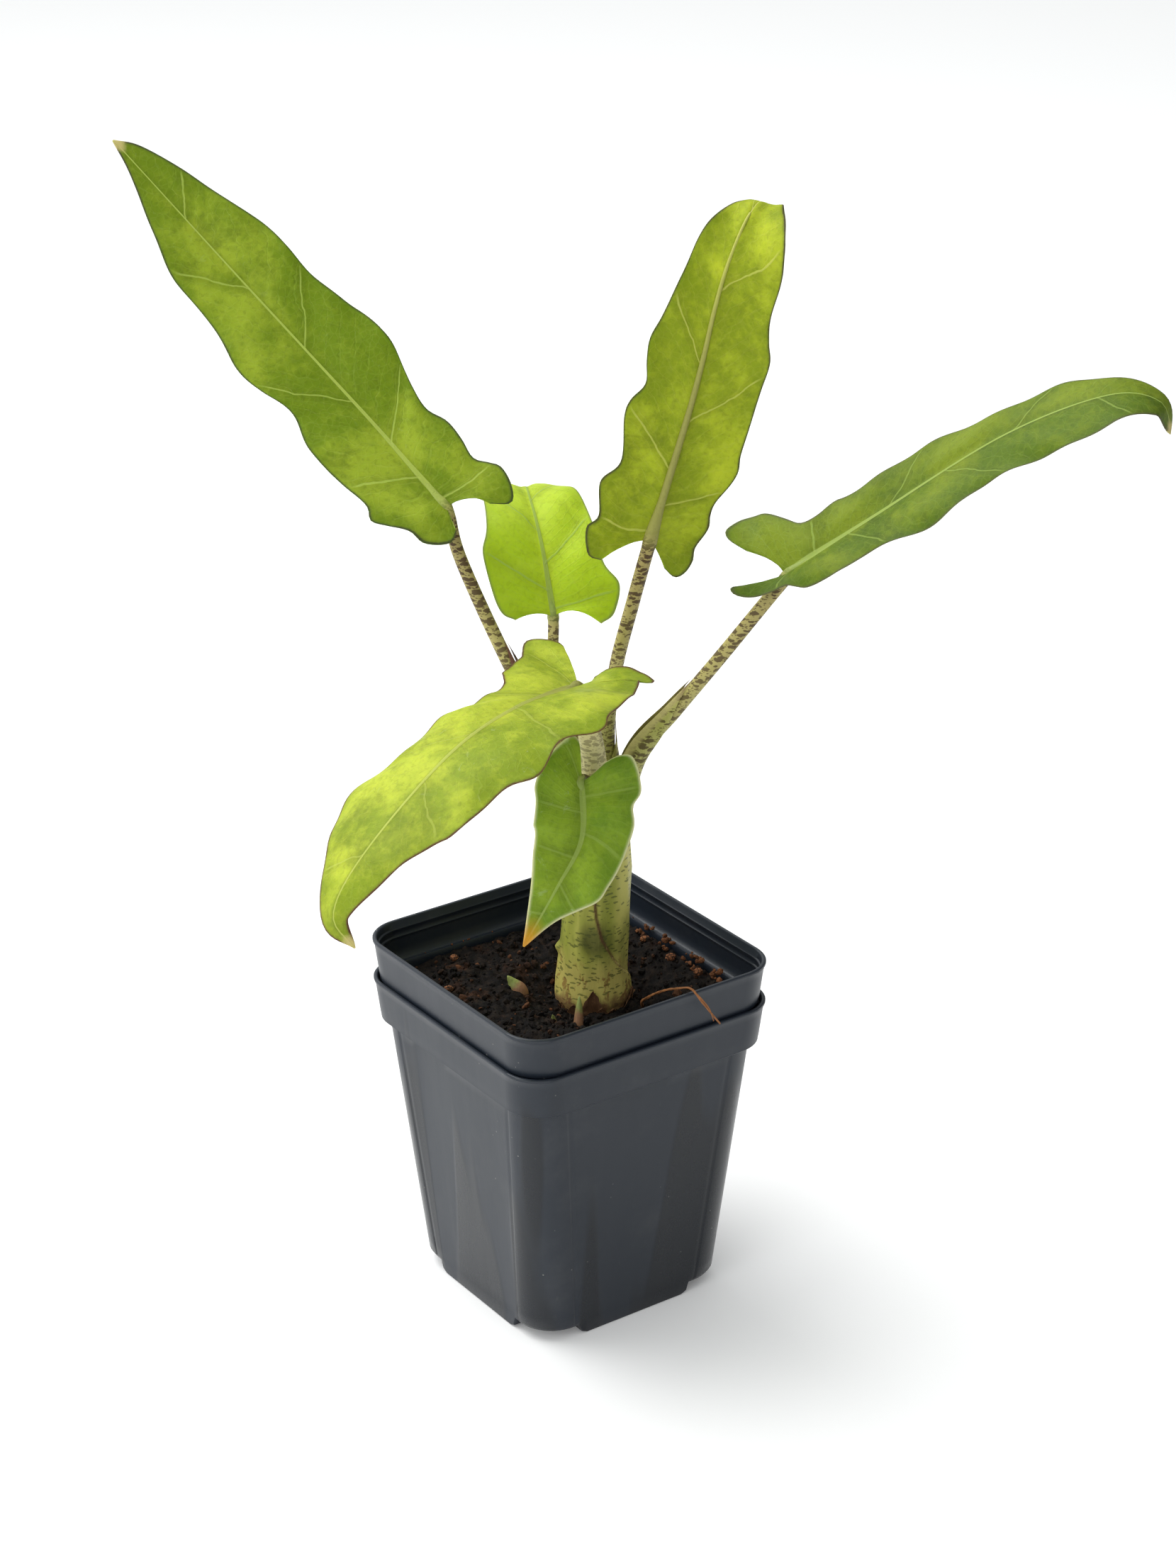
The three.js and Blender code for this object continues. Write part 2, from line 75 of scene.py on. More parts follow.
# Potting mix and pseudostem, in millimetres.
MIX_LEVEL = 106
MIX_HOLLOW = 8
HOLLOW_PLACE = (10, -6)
HOLLOW_INNER = 12
HOLLOW_OUTER = 34
MIX_HALF = 44.2
MIX_CORNER = 0.27
MIX_FLOOR = 20
CRUMB_HALF = 43
CRUMB_CORNER = 11
STEM_FOOT = Vector((10.5, 3.5, 80))
STEM_TOP = Vector((15, 0.5, 168))
STEM_PROFILE = [(0, 5), (4, 9.5), (12, 12), (22, 12.4), (30, 11.4), (42, 11.2), (66, 10.4), (80, 8.5),
                (88, 5)]
STALK_RING = 5.6
SHOOTS = (
    # name, foot, tip, radius, and how much the bud swells above its foot
    ("offset_large", (-12.2, 10.4, 103.8), (-15.5, 12.8, 110.3), 2.8, 0.3),
    ("offset_small", (-15.5, -14, 104.6), (-16.5, -14.8, 108), 1.2, 0.1),
    ("old_stub", (-5.5, -13.5, 99.6), (-3.5, -11.5, 109.5), 2, 0),
)
ROOT_LINE = [(20.5, -13.5, 99), (16, -20, 105.5), (14, -33, 115), (13.3, -45, 121.5), (13.5, -50, 123),
             (15, -53, 119.5), (18, -54, 115), (21.5, -54.5, 110)]
STRAND_LINE = [(13.6, -50.5, 122.6), (14.6, -52.6, 121), (17, -54.3, 117), (18.6, -54.8, 112)]

# Light and camera: places in millimetres, the roll in degrees.
BRIGHT_SIDE = (-0.72, 0.42, 0.55)
DIM_SKY = 0.12
LEFT_SHARE = 0.2
CAMERA_PLACE = (-577.8, -833.1, 638.8)
CAMERA_TARGET = (5.59, -3.93, 180.12)
CAMERA_ROLL = -0.25
CAMERA_LENS = 79.67

# Leaves. VEIN_SWEEP above 1 leans the side veins towards the tip, LOBE_SHARE is the part of the margin
# whose rows bend round the stalk, and BLADE_CURL is how fast the sides turn down towards the margin.
VEIN_SWEEP = 1.8
LOBE_SHARE = 0.25
TIP_HALF = 0.3
BLADE_CURL = 0.004

# rib: points on the midrib. face, tip_face: where the upper side looks at each end. left, right:
# the margins as (distance along the rib, distance out), from the basal lobe to the tip. sinus: what
# the edge beside the stalk bends towards. cup, tip_cup: how far the halves fold up, in degrees.
# lift: how fast the lobes rise. ring, stalk, radius: where the stalk leaves the pseudostem, its
# points and its radius. The colours are the blade, its patches, its veins and its margin. tanned: how
# brown the midrib is at its foot. ribbed: how wide the midrib is. half_light: painted light, how much
# lighter the left half is painted than the right. veined, wax: how clear the veins and the waxy marks
# are. brown: how brown the stalk's top is.
LEAVES = {
    "left": dict(
        rib=[(-19, 38, 267), (-32, 64, 293), (-53, 98, 330), (-79, 134, 374)],
        face=(-0.24, -0.87, 0.45), tip_face=(-0.24, -0.87, 0.45), cup=10, tip_cup=8, lift=0,
        left=[(-8, 3), (-9.6, 7.5), (-4.5, 14), (1.2, 15.2), (7, 19.5), (11.5, 22.4), (16, 20.4),
              (26, 21.6), (42, 22), (54, 18), (66, 20.6), (77, 21.4), (91, 17.6), (111, 16.6),
              (127, 10.8), (145, 3.4)],
        right=[(-8, 11.3), (-12, 17), (-8, 20.6), (-1.3, 22.2), (2.4, 20.4), (7, 17.4), (14, 18.4),
              (21.5, 18.8), (28.5, 16.4), (36.5, 17.6), (49, 22.2), (56, 23), (63, 22.6), (71, 20.6),
              (83, 18.4), (95, 18.5), (106, 18.2), (118, 14.6), (134, 10.6), (149, 5.4)],
        sinus=[(-2.5, 0.8), (0, 7.5)], ring=140, stalk=[(4, 10, 184), (-7, 23, 217), (-16, 35, 250)],
        radius=2,
        blade=(0.14, 0.215, 0.005), patch=(0.29, 0.37, 0.022), vein=(0.4, 0.5, 0.09),
        edge=(0.05, 0.05, 0.02), tanned=0.1, ribbed=0.9, half_light=0.045, veined=0.6, wax=0.1, brown=0.75),
    "upright": dict(
        rib=[(26, -9, 261), (33, -22, 310), (37, -29, 343), (43, -32, 362), (53, -28, 368), (66, -14, 353)],
        face=(0.49, 0.88, 0.1), tip_face=(0.1, 0.1, -1), cup=12, tip_cup=-3, lift=0,
        left=[(-10.3, 8), (-13, 12.4), (-11, 15.5), (-6.6, 16.8), (-1.5, 16.1), (6.6, 17.9),
              (11.3, 17.1), (16.7, 17.3), (27.6, 20.6), (35, 19.7), (45, 19.3), (58, 19.5), (68, 20),
              (74, 18.4), (82, 17.3), (95, 17.9), (102, 17), (110, 13), (117, 8), (125, 5.5),
              (134, 3.5)],
        right=[(-11.5, 13), (-10.8, 17.4), (-1.7, 20.3), (3.7, 17.8), (15.3, 20.2), (23.9, 15.9),
              (38.7, 18.8), (45, 18.4), (51, 15.2), (59, 16.6), (67, 17.2), (75, 14.9), (88, 12.2),
              (98, 11.6), (105, 10.2), (113, 6.8), (118, 3.8), (126, 3), (135, 2)],
        sinus=[(-5, 4.6), (-4, 6)], ring=20, stalk=[(19, 4, 190), (20, 1, 215), (23, -4, 238)], radius=2.1,
        blade=(0.21, 0.27, 0.007), patch=(0.42, 0.48, 0.022), vein=(0.48, 0.5, 0.1),
        edge=(0.06, 0.045, 0.02), tanned=0.6, ribbed=1.2, half_light=0.0, veined=0.65, wax=0.05, brown=0.8),
    "right": dict(
        rib=[(57, -38, 251), (76, -58, 272), (103, -85, 300), (125, -106, 314), (136.3, -116.8, 313),
             (139.3, -119.8, 303)],
        face=(-0.39, -0.21, 0.9), tip_face=(0.21, -0.57, 0.9), cup=20, tip_cup=4, lift=0.04,
        left=[(-8.3, 13.3), (-11.4, 18), (-11, 22.4), (-6.7, 26), (-1, 25), (2.4, 22.7), (7.2, 17.6),
              (11.3, 13.4), (18, 12), (24.6, 13.5), (30, 13.2), (59, 13), (85, 10), (106, 11), (126, 7),
              (137, 4)],
        right=[(-10, 0.5), (-14.2, 2), (-14, 6), (-11, 8), (-4.6, 8.4), (1.2, 9.6), (5, 13), (8.7, 16),
              (16, 17.7), (22, 17.1), (32, 16), (53, 19), (70, 15), (94, 16), (107, 16), (119, 13),
              (130, 9), (139, 4)],
        sinus=[(-0.2, 7), (-5, 0.5)], ring=-40, stalk=[(23, -7, 186), (32, -15, 203), (43, -25, 223)],
        radius=2.1,
        blade=(0.08, 0.135, 0.004), patch=(0.17, 0.225, 0.01), vein=(0.3, 0.4, 0.08),
        edge=(0.08, 0.08, 0.03), tanned=0.15, ribbed=1.0, half_light=0.08, veined=0.45, wax=0.03, brown=0.5),
    "back": dict(
        rib=[(14, 27, 226), (18, 39, 245), (24, 54, 255), (33, 72, 253), (44, 98, 230)],
        face=(-0.38, -0.71, 0.6), tip_face=(0.35, 0.49, 0.8), cup=12, tip_cup=6, lift=0,
        left=[(0, 13), (3, 17), (11, 19), (23, 20), (32, 17), (48, 15), (60, 12), (82, 6)],
        right=[(-5, 15), (-2, 20), (7, 23), (15, 19), (30, 18), (45, 17), (62, 12), (84, 5)],
        sinus=[(3, 6), (3, 7)], ring=80, stalk=[(13, 14, 187), (11, 22, 207)], radius=1.8,
        blade=(0.38, 0.52, 0.012), patch=(0.45, 0.58, 0.03), vein=(0.3, 0.42, 0.08),
        edge=(0.2, 0.24, 0.05), tanned=0.2, ribbed=1.0, half_light=0.0, veined=0.6, wax=0.0, brown=0.3),
    "arching": dict(
        rib=[(0, -7, 217), (-36, -26, 225), (-67, -36, 221), (-99, -40, 200), (-112, -41, 183),
             (-109, -47, 173)],
        face=(-0.06, -0.08, 1), tip_face=(-0.78, -0.06, 0.5), cup=12, tip_cup=-5, lift=0.015,
        left=[(-9.8, 0.6), (-13.9, 1.8), (-15.4, 4.6), (-15.3, 9.2), (-14, 14.3), (-13.5, 17.8),
              (-11.6, 21.2), (-10, 20.8), (-10, 17), (-3.5, 19.3), (11.3, 23.6), (25, 25.2), (35, 27.8),
              (41.5, 30), (54, 25), (68, 28), (78, 23), (96, 21), (104, 17), (130, 8)],
        right=[(-14, 12), (-17.5, 16), (-16.8, 21.6), (-14.7, 28), (-8, 25.5), (-3.4, 23.4), (4, 22.6),
              (10.8, 22), (17, 18.5), (24.6, 15.1), (45, 13.9), (56, 18), (78, 18), (98, 26), (110, 23),
              (126, 14), (137, 6)],
        sinus=[(-1, 3), (-6.9, 5.9)], ring=200, stalk=[(7, -5, 184), (4, -7, 200)], radius=2,
        blade=(0.2, 0.27, 0.011), patch=(0.43, 0.49, 0.035), vein=(0.4, 0.45, 0.08),
        edge=(0.09, 0.035, 0.02), tanned=0.65, ribbed=1.5, half_light=-0.05, veined=0.4, wax=0.25, brown=0.6),
    "front": dict(
        rib=[(-4, -14, 187), (-9, -21, 171), (-21, -24, 158), (-33, -23, 141)],
        face=(-0.32, -0.63, 0.7), tip_face=(-0.44, -0.79, 0.4), cup=20, tip_cup=8, lift=0,
        left=[(-6.2, 8), (-8.1, 12.1), (-8, 16.2), (-4.2, 18.5), (1, 19.5), (5.2, 19), (8.8, 16.2),
              (13.4, 16.4), (18.4, 15), (27, 14), (34, 13), (45, 5)],
        right=[(-8.5, 0.3), (-13, 0.8), (-15, 3), (-13.7, 5.5), (-7.3, 12.4), (0.5, 16.1), (5.2, 16),
              (16.2, 16.4), (28.5, 13), (37, 8.6), (48, 4)],
        sinus=[(-2, 3.6), (-4, 0.1)], ring=260, stalk=[(9, -9, 178)], radius=1.7,
        blade=(0.14, 0.245, 0.015), patch=(0.27, 0.39, 0.026), vein=(0.3, 0.4, 0.09),
        edge=(0.55, 0.55, 0.3), tanned=0.05, ribbed=1.0, half_light=-0.05, veined=0.4, wax=0.5, brown=0.4),
}

# Where a blade's tip starts to dry, along its rib from 0 to 1, and to what colour.
DRY_TIPS = {"front": (0.88, (0.62, 0.27, 0.015))}

# The sheaths at the stalks' feet. foot, tip: where each starts and ends along its stalk. opens: the side
# of the plant that it opens towards, in degrees. wings: how far its two wings stand out. wider: how much
# wider than the stalk it is. closed: how far up its length the closed side reaches. bars: how dark its
# marks are.
SHEATHS = {
    "left": dict(foot=20, tip=98, opens=-48, wings=3.2, wider=0.3, closed=0.62, bars=0.2),
    "upright": dict(foot=20, tip=66, opens=20, wings=1.2, wider=0.5, closed=0.62, bars=0.2),
    "right": dict(foot=20, tip=88, opens=140, wings=3.4, wider=0.3, closed=0.62, bars=0.2),
    "back": dict(foot=20, tip=70, opens=-90, wings=1.6, wider=0.3, closed=0.62, bars=0.2),
    "arching": dict(foot=20, tip=79, opens=50, wings=1.0, wider=1.9, closed=0.95, bars=-1.4),
    "front": dict(foot=18, tip=30, opens=60, wings=0.6, wider=0.2, closed=0.62, bars=0.2),
}


# ---- sizes and colours that can be changed ------------------------------------------------------


class PotSettings(bpy.types.PropertyGroup):
    wall: FloatProperty(name="Wall", description="Thickness of the pots' walls", default=0.001,
                        min=0.0005, max=0.003, unit="LENGTH")
    warp: FloatProperty(name="Panel warp", description="How far the moulded panels sink between the corners",
                        default=0.0009, min=0, max=0.002, unit="LENGTH")
    plastic: FloatVectorProperty(name="Plastic", description="Colour of the moulded plastic",
                                 subtype="COLOR", default=(0.0115, 0.0165, 0.0255), min=0, max=1)
    dust: FloatVectorProperty(name="Dust", description="Colour of the dust and lime on the plastic",
                              subtype="COLOR", default=(0.3, 0.29, 0.27), min=0, max=1)


class MixSettings(bpy.types.PropertyGroup):
    crumbs: IntProperty(name="Crumbs", description="How many loose crumbs lie on the mix", default=1500,
                        min=0, max=3000)
    relief: FloatProperty(name="Relief", description="Height of the lumps in the mix", default=0.0022,
                          min=0, max=0.006, unit="LENGTH")
    dark: FloatVectorProperty(name="Peat", description="Colour of the damp peat", subtype="COLOR",
                              default=(0.005, 0.0042, 0.004), min=0, max=1)
    light: FloatVectorProperty(name="Dry crumb", description="Colour of the drier crumbs", subtype="COLOR",
                               default=(0.022, 0.015, 0.011), min=0, max=1)
    bark: FloatVectorProperty(name="Bark", description="Colour of the bark chips", subtype="COLOR",
                              default=(0.2, 0.08, 0.035), min=0, max=1)


class PlantSettings(bpy.types.PropertyGroup):
    thickness: FloatProperty(name="Blade", description="Thickness of a blade beside its veins",
                             default=0.00045, min=0.0002, max=0.002, unit="LENGTH")
    ruffle: FloatProperty(name="Ruffle", description="Height of the waves along a blade's margin",
                          default=0.0005, min=0, max=0.005, unit="LENGTH")
    quilt: FloatProperty(name="Quilting", description="How far a blade rises between its side veins",
                         default=0.001, min=0, max=0.003, unit="LENGTH")
    veins: IntProperty(name="Side veins", description="Strong side veins in each half of a blade",
                       default=4, min=2, max=12)
    stem: FloatVectorProperty(name="Stem", description="Colour of the pseudostem", subtype="COLOR",
                              default=(0.29, 0.31, 0.045), min=0, max=1)
    stalk: FloatVectorProperty(name="Stalk", description="Colour of the leaf stalks between their marks",
                               subtype="COLOR", default=(0.42, 0.37, 0.12), min=0, max=1)
    marks: FloatVectorProperty(name="Marks", description="Colour of the short bars on the stalks",
                               subtype="COLOR", default=(0.05, 0.022, 0.01), min=0, max=1)
    paper: FloatVectorProperty(name="Dry sheath", description="Colour of the dry papery sheath",
                               subtype="COLOR", default=(0.17, 0.08, 0.035), min=0, max=1)


class StageSettings(bpy.types.PropertyGroup):
    floor: FloatVectorProperty(name="Floor", description="Colour of the floor", subtype="COLOR",
                               default=(0.9, 0.9, 0.9), min=0, max=1)
    key: FloatProperty(name="Key light", description="Power of the large soft light behind the plant",
                       default=28, min=0, unit="POWER")
    sky: FloatProperty(name="Surroundings", description="Brightness of the white surroundings", default=0.95,
                       min=0)


# ---- lines and outlines -------------------------------------------------------------------------


class Path:
    """A smooth line through points, read by distance along it."""

    steps = 24

    def __init__(self, points):
        points = [Vector(p) if len(p) == 3 else Vector((*p, 0)) for p in points]
        ends = [2 * points[0] - points[1], *points, 2 * points[-1] - points[-2]]
        self.line = [points[0]]
        for a, b, c, d in zip(ends, ends[1:], ends[2:], ends[3:]):
            for step in range(1, self.steps + 1):
                t = step / self.steps
                self.line.append(0.5 * (2 * b + (c - a) * t + (2 * a - 5 * b + 4 * c - d) * t * t
                                        + (3 * b - a - 3 * c + d) * t * t * t))
        self.marks = [0.0]
        for a, b in zip(self.line, self.line[1:]):
            self.marks.append(self.marks[-1] + (b - a).length)
        self.length = self.marks[-1]

    def at(self, distance):
        distance = min(max(distance, 0), self.length)
        i = min(bisect_right(self.marks, distance), len(self.marks) - 1)
        start, end = self.marks[i - 1], self.marks[i]
        return self.line[i - 1].lerp(self.line[i], (distance - start) / (end - start))

    def tangent(self, distance):
        return (self.at(min(distance + 0.5, self.length)) - self.at(max(distance - 0.5, 0))).normalized()


def smoothstep(value, low, high):
    t = min(max((value - low) / (high - low), 0), 1)
    return t * t * (3 - 2 * t)


def between(table, value):
    """Reads a table of (position, value) pairs, in straight lines between them."""
    for (x0, y0), (x1, y1) in zip(table, table[1:]):
        if value <= x1:
            return y0 + (y1 - y0) * max(value - x0, 0) / (x1 - x0)
    return table[-1][1]


def outline(side_marks, arc_steps):
    """Stations round a square with round corners, as (core direction, outward normal) pairs."""
    stations = []
    for quarter in range(4):
        turn = quarter * math.pi / 2
        cos, sin = round(math.cos(turn)), round(math.sin(turn))
        for mark in side_marks:
            stations.append(((cos - sin * mark, sin + cos * mark), (cos, sin)))
        for step in range(1, arc_steps):
            angle = turn + step / arc_steps * math.pi / 2
            stations.append(((cos - sin, sin + cos), (math.cos(angle), math.sin(angle))))
    return stations


def on_outline(station, half, radius):
    (cx, cy), (nx, ny) = station
    return (half - radius) * cx + radius * nx, (half - radius) * cy + radius * ny


# ---- meshes -------------------------------------------------------------------------------------


def alone(piece):
    bpy.ops.object.select_all(action="DESELECT")
    piece.select_set(True)
    bpy.context.view_layer.objects.active = piece


def sheet(name, across, along, place):
    """A grid bent into shape. place(u, v) gives each point in millimetres, for u and v from 0 to 1."""
    bpy.ops.object.select_all(action="DESELECT")
    bpy.ops.mesh.primitive_grid_add(x_subdivisions=across, y_subdivisions=along, size=1)
    piece = bpy.context.object
    piece.name = name
    for vertex in piece.data.vertices:
        u, v = min(max(vertex.co.x + 0.5, 0), 1), min(max(vertex.co.y + 0.5, 0), 1)
        vertex.co = place(u, v) * MM
    return piece


def weld(piece):
    """Closes the seams and poles of a bent grid, and turns its faces outwards."""
    alone(piece)
    bpy.ops.object.mode_set(mode="EDIT")
    bpy.ops.mesh.select_all(action="SELECT")
    bpy.ops.mesh.remove_doubles(threshold=2e-6)
    bpy.ops.mesh.dissolve_degenerate(threshold=1e-7)
    bpy.ops.mesh.normals_make_consistent(inside=False)
    bpy.ops.object.mode_set(mode="OBJECT")
    bpy.ops.object.shade_smooth_by_angle(angle=math.radians(40))
    return piece


def spread(raw):
    """Evenly spaced -1 to 1, gathered towards the middle and both ends."""
    return math.copysign((1 - math.cos(math.pi * abs(raw))) / 2, raw)


def shell(name, across, along, place, thickness, values=None):
    """A thin closed sheet. place(side, v, lift) gives a point for side from -1 to 1, v from 0 to 1.

    values maps names to functions of (side, v), which become attributes; "under" is 1 on the lower
    side. The piece's UV map holds (side, v).
    """
    sides = []

    def turn(u):
        loop = 4 * u - 1
        return spread(loop if loop <= 1 else 2 - loop), 1 if loop <= 1 else -1

    def wrapped(u, v):
        side, upper = turn(u)
        sides.append((side, v, upper))
        return place(side, v, upper * thickness(side, v) / 2)

    piece = sheet(name, across * 4, along, wrapped)
    for corner in piece.data.uv_layers.active.data:
        corner.uv = ((turn(corner.uv.x)[0] + 1) / 2, corner.uv.y)
    values = dict(values or {}, under=None)
    for key, value in values.items():
        layer = piece.data.attributes.new(key, "FLOAT", "POINT")
        for item, (side, v, upper) in zip(layer.data, sides):
            item.value = (0.0 if upper > 0 else 1.0) if value is None else value(side, v)
    return weld(piece)


def tube(name, path, start, end, radius, sides=16, rings=80, values=None):
    """A round closed rod along part of a path, with radius(t, angle) for t from 0 to 1."""
    frames = []
    normal = path.tangent(start).orthogonal().normalized()
    for ring in range(rings + 1):
        distance = start + (end - start) * ring / rings
        tangent = path.tangent(distance)
        normal = (normal - tangent * normal.dot(tangent)).normalized()
        frames.append((path.at(distance), normal, tangent.cross(normal)))
    heights = []

    def place(u, v):
        heights.append(v)
        centre, first, second = frames[round(v * rings)]
        angle = 2 * math.pi * u
        closing = 0 if v in (0, 1) else 1
        reach = radius(v, angle) * closing
        return centre + first * math.cos(angle) * reach + second * math.sin(angle) * reach

    piece = sheet(name, sides, rings, place)
    for key, value in (values or {}).items():
        layer = piece.data.attributes.new(key, "FLOAT", "POINT")
        for item, v in zip(layer.data, heights):
            item.value = value(v)
    return weld(piece)


def joined(name, pieces):
    """Joins pieces into the first."""
    alone(pieces[0])
    for piece in pieces[1:]:
        piece.select_set(True)
    bpy.ops.object.join()
    pieces[0].name = name
    return pieces[0]


def place_piece(piece, finish, slot, *nodes):
    """Gives a piece its finish, and fixes it to the part in place of some CAD nodes."""
    piece.data.materials.clear()
    piece.data.materials.append(finish)
    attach(piece, "root")
    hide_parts(*nodes)


# ---- finishes -----------------------------------------------------------------------------------


class Wire:
    """A socket that can be used in sums."""

    def __init__(self, tree, socket):
        self.tree = tree
        self.socket = socket

    def sum(self, operation, *values):
        node = self.tree.nodes.new("ShaderNodeMath")
        node.operation = operation
        for socket, value in zip(node.inputs, values):
            join(self.tree, socket, value)
        return Wire(self.tree, node.outputs[0])

    def __add__(self, other):
        return self.sum("ADD", self, other)

    def __sub__(self, other):
        return self.sum("SUBTRACT", self, other)

    def __rsub__(self, other):
        return self.sum("SUBTRACT", other, self)

    def __mul__(self, other):
        return self.sum("MULTIPLY", self, other)

    def __truediv__(self, other):
        return self.sum("DIVIDE", self, other)

    def __rtruediv__(self, other):
        return self.sum("DIVIDE", other, self)

    def __abs__(self):
        return self.sum("ABSOLUTE", self)

    __radd__ = __add__
    __rmul__ = __mul__


def join(tree, socket, value):
    if isinstance(value, Wire):
        tree.links.new(value.socket, socket)
    elif isinstance(value, (tuple, list)) and len(value) == 3 and len(socket.default_value) == 4:
        socket.default_value = (*value, 1)
    else:
        socket.default_value = value


class Sums:
    """Shader sums in one node tree."""

    def __init__(self, tree):
        self.tree = tree

    def node(self, kind, settings=None, values=None, output=0):
        node = self.tree.nodes.new("ShaderNode" + kind)
        for key, value in (settings or {}).items():
            setattr(node, key, value)
        for key, value in (values or {}).items():
            join(self.tree, node.inputs[key], value)
        return Wire(self.tree, node.outputs[output])

    def place(self):
        return self.node("TexCoord", output="Object")

    def map(self):
        return self.node("UVMap", {"uv_map": "UVMap"}, output="UV")

    def split(self, vector):
        return [self.node("SeparateXYZ", None, {0: vector}, axis) for axis in "XYZ"]

    def value(self, name):
        return self.node("Attribute", {"attribute_name": name}, output="Fac")

    def stretched(self, vector, scale):
        return self.node("VectorMath", {"operation": "MULTIPLY"}, {0: vector, 1: scale})

    def noise(self, vector, scale, detail=3, roughness=0.5, distortion=0):
        return self.node("TexNoise", None, {"Vector": vector, "Scale": scale, "Detail": detail,
                                            "Roughness": roughness, "Distortion": distortion})

    def cells(self, vector, scale, feature="F1"):
        return self.node("TexVoronoi", {"feature": feature}, {"Vector": vector, "Scale": scale}, "Distance")

    def step(self, value, low, high):
        """0 below low, 1 above high, smooth between; turned round where low is the larger."""
        return self.node("MapRange", {"interpolation_type": "SMOOTHSTEP"},
                         {"Value": value, "From Min": low, "From Max": high})

    def larger(self, a, b):
        return self.node("Math", {"operation": "MAXIMUM"}, {0: a, 1: b})

    def nearest(self, value):
        """How far a value is from the nearest whole number."""
        return self.node("Math", {"operation": "PINGPONG"}, {0: value, 1: 0.5})

    def away(self, vector, point):
        return self.node("VectorMath", {"operation": "DISTANCE"}, {0: vector, 1: point}, "Value")

    def shaken(self, vector, scale, amount):
        """A place shifted to and fro by noise, by up to half an amount in metres."""
        shift = self.node("TexNoise", None, {"Vector": vector, "Scale": scale, "Detail": 2}, "Color")
        centred = self.node("VectorMath", {"operation": "SUBTRACT"}, {0: shift, 1: (0.5, 0.5, 0.5)})
        return self.node("VectorMath", {"operation": "MULTIPLY_ADD"},
                         {0: centred, 1: (amount, amount, amount), 2: vector})

    def mix(self, factor, a, b):
        node = self.tree.nodes.new("ShaderNodeMix")
        node.data_type = "RGBA"
        for key, value in (("Factor_Float", factor), ("A_Color", a), ("B_Color", b)):
            join(self.tree, next(s for s in node.inputs if s.identifier == key), value)
        return Wire(self.tree, next(s for s in node.outputs if s.identifier == "Result_Color"))

    def bump(self, height, distance, strength=1.0):
        """height is 0 to 1, and distance is its depth in metres."""
        return self.node("Bump", None, {"Height": height, "Distance": distance, "Strength": strength})


class Finish(Sums):
    """A material being mixed. Its keywords are the shader's own plain values."""

    def __init__(self, name, **plain):
        self.material = bpy.data.materials.new(name)
        self.material.use_nodes = True
        super().__init__(self.material.node_tree)
        self.shader = self.tree.nodes["Principled BSDF"]
        for key, value in plain.items():
            join(self.tree, self.shader.inputs[key.replace("_", " ").title().replace("Ior", "IOR")], value)

    def paint(self, **links):
        for key, value in links.items():
            join(self.tree, self.shader.inputs[key.replace("_", " ").title()], value)
        return self.material


def plastic_finish(pots):
    """Moulded plastic: satin, with flow lines down the panels, dust, scuffs and lime specks, and dark
    tapering streaks on the panels that are painted reflection of their warps.
    """
    f = Finish("moulded_plastic", specular_ior_level=0.4)
    place = f.place()
    flow = f.noise(f.stretched(place, (1, 1, 0.04)), 55, 2)
    scuffs = f.noise(f.stretched(place, (1, 1, 0.3)), 420, 4, 0.7)
    grain = f.noise(place, 2600, 2)
    blotch = f.noise(place, 45, 4, 0.6)
    specks = f.step(f.cells(place, 260), 0.08, 0.055) * f.step(f.noise(place, 35, 1), 0.56, 0.64)
    height = f.split(place)[2]
    dark_reflection_wedge = f.step(f.noise(f.stretched(place, (1, 1, 0.02)), 62, 1) - height * 2.4, 0.39, 0.47)
    film = f.step(blotch, 0.5, 0.85) * 0.05 + f.step(scuffs, 0.62, 0.8) * 0.04
    colour = f.mix(film, tuple(pots.plastic), tuple(pots.dust))
    # painted reflection: dark streaks, broad at the foot and narrow above, darken the plastic where the
    # warped panels reflect less light
    colour = f.mix(dark_reflection_wedge * 0.85, colour, tuple(c * 0.4 for c in pots.plastic))
    colour = f.mix(specks * 0.6, colour, tuple(pots.dust))
    rough = 0.33 + blotch * 0.08 + scuffs * 0.05 - dark_reflection_wedge * 0.12 + specks * 0.3
    relief = flow * 1.2 + dark_reflection_wedge * 0.25 + grain * 0.05 + scuffs * 0.06
    return f.paint(base_color=colour, roughness=rough, normal=f.bump(relief, 0.0006, 0.5))


def mix_finish(mix):
    """Damp peat. "tone" picks each crumb's colour: 0 is damp peat, 1 is dry bark."""
    f = Finish("potting_mix", specular_ior_level=0.12)
    place = f.place()
    lumps = f.noise(place, 350, 5, 0.65)
    fine = f.noise(place, 1500, 3, 0.6)
    red = f.step(f.noise(place, 110, 3, 0.6), 0.55, 0.75)
    colour = f.mix(f.step(lumps, 0.4, 0.75), tuple(mix.dark), tuple(mix.light))
    colour = f.mix(red * 0.35, colour, tuple(c * 0.45 for c in mix.bark))
    colour = f.mix(f.value("tone"), colour, tuple(mix.bark))
    return f.paint(base_color=colour, roughness=0.75 + 0.2 * fine,
                   normal=f.bump(lumps * 0.6 + fine * 0.4, 0.0008, 0.9))


def bark_finish(mix):
    """Coarse reddish bark, fibrous, with darker cracks."""
    f = Finish("bark_chip", specular_ior_level=0.2)
    place = f.place()
    fibre = f.noise(f.stretched(place, (1, 1, 0.35)), 1300, 4, 0.7)
    crack = f.step(f.cells(place, 700, "DISTANCE_TO_EDGE"), 0.0, 0.12)
    colour = f.mix(fibre, tuple(c * 0.35 for c in mix.bark), tuple(c * 1.7 for c in mix.bark))
    colour = f.mix(1 - crack, colour, tuple(mix.dark))
    return f.paint(base_color=colour, roughness=0.8 + fibre * 0.15,
                   normal=f.bump(fibre * 0.5 + crack * 0.5, 0.0005, 0.8))


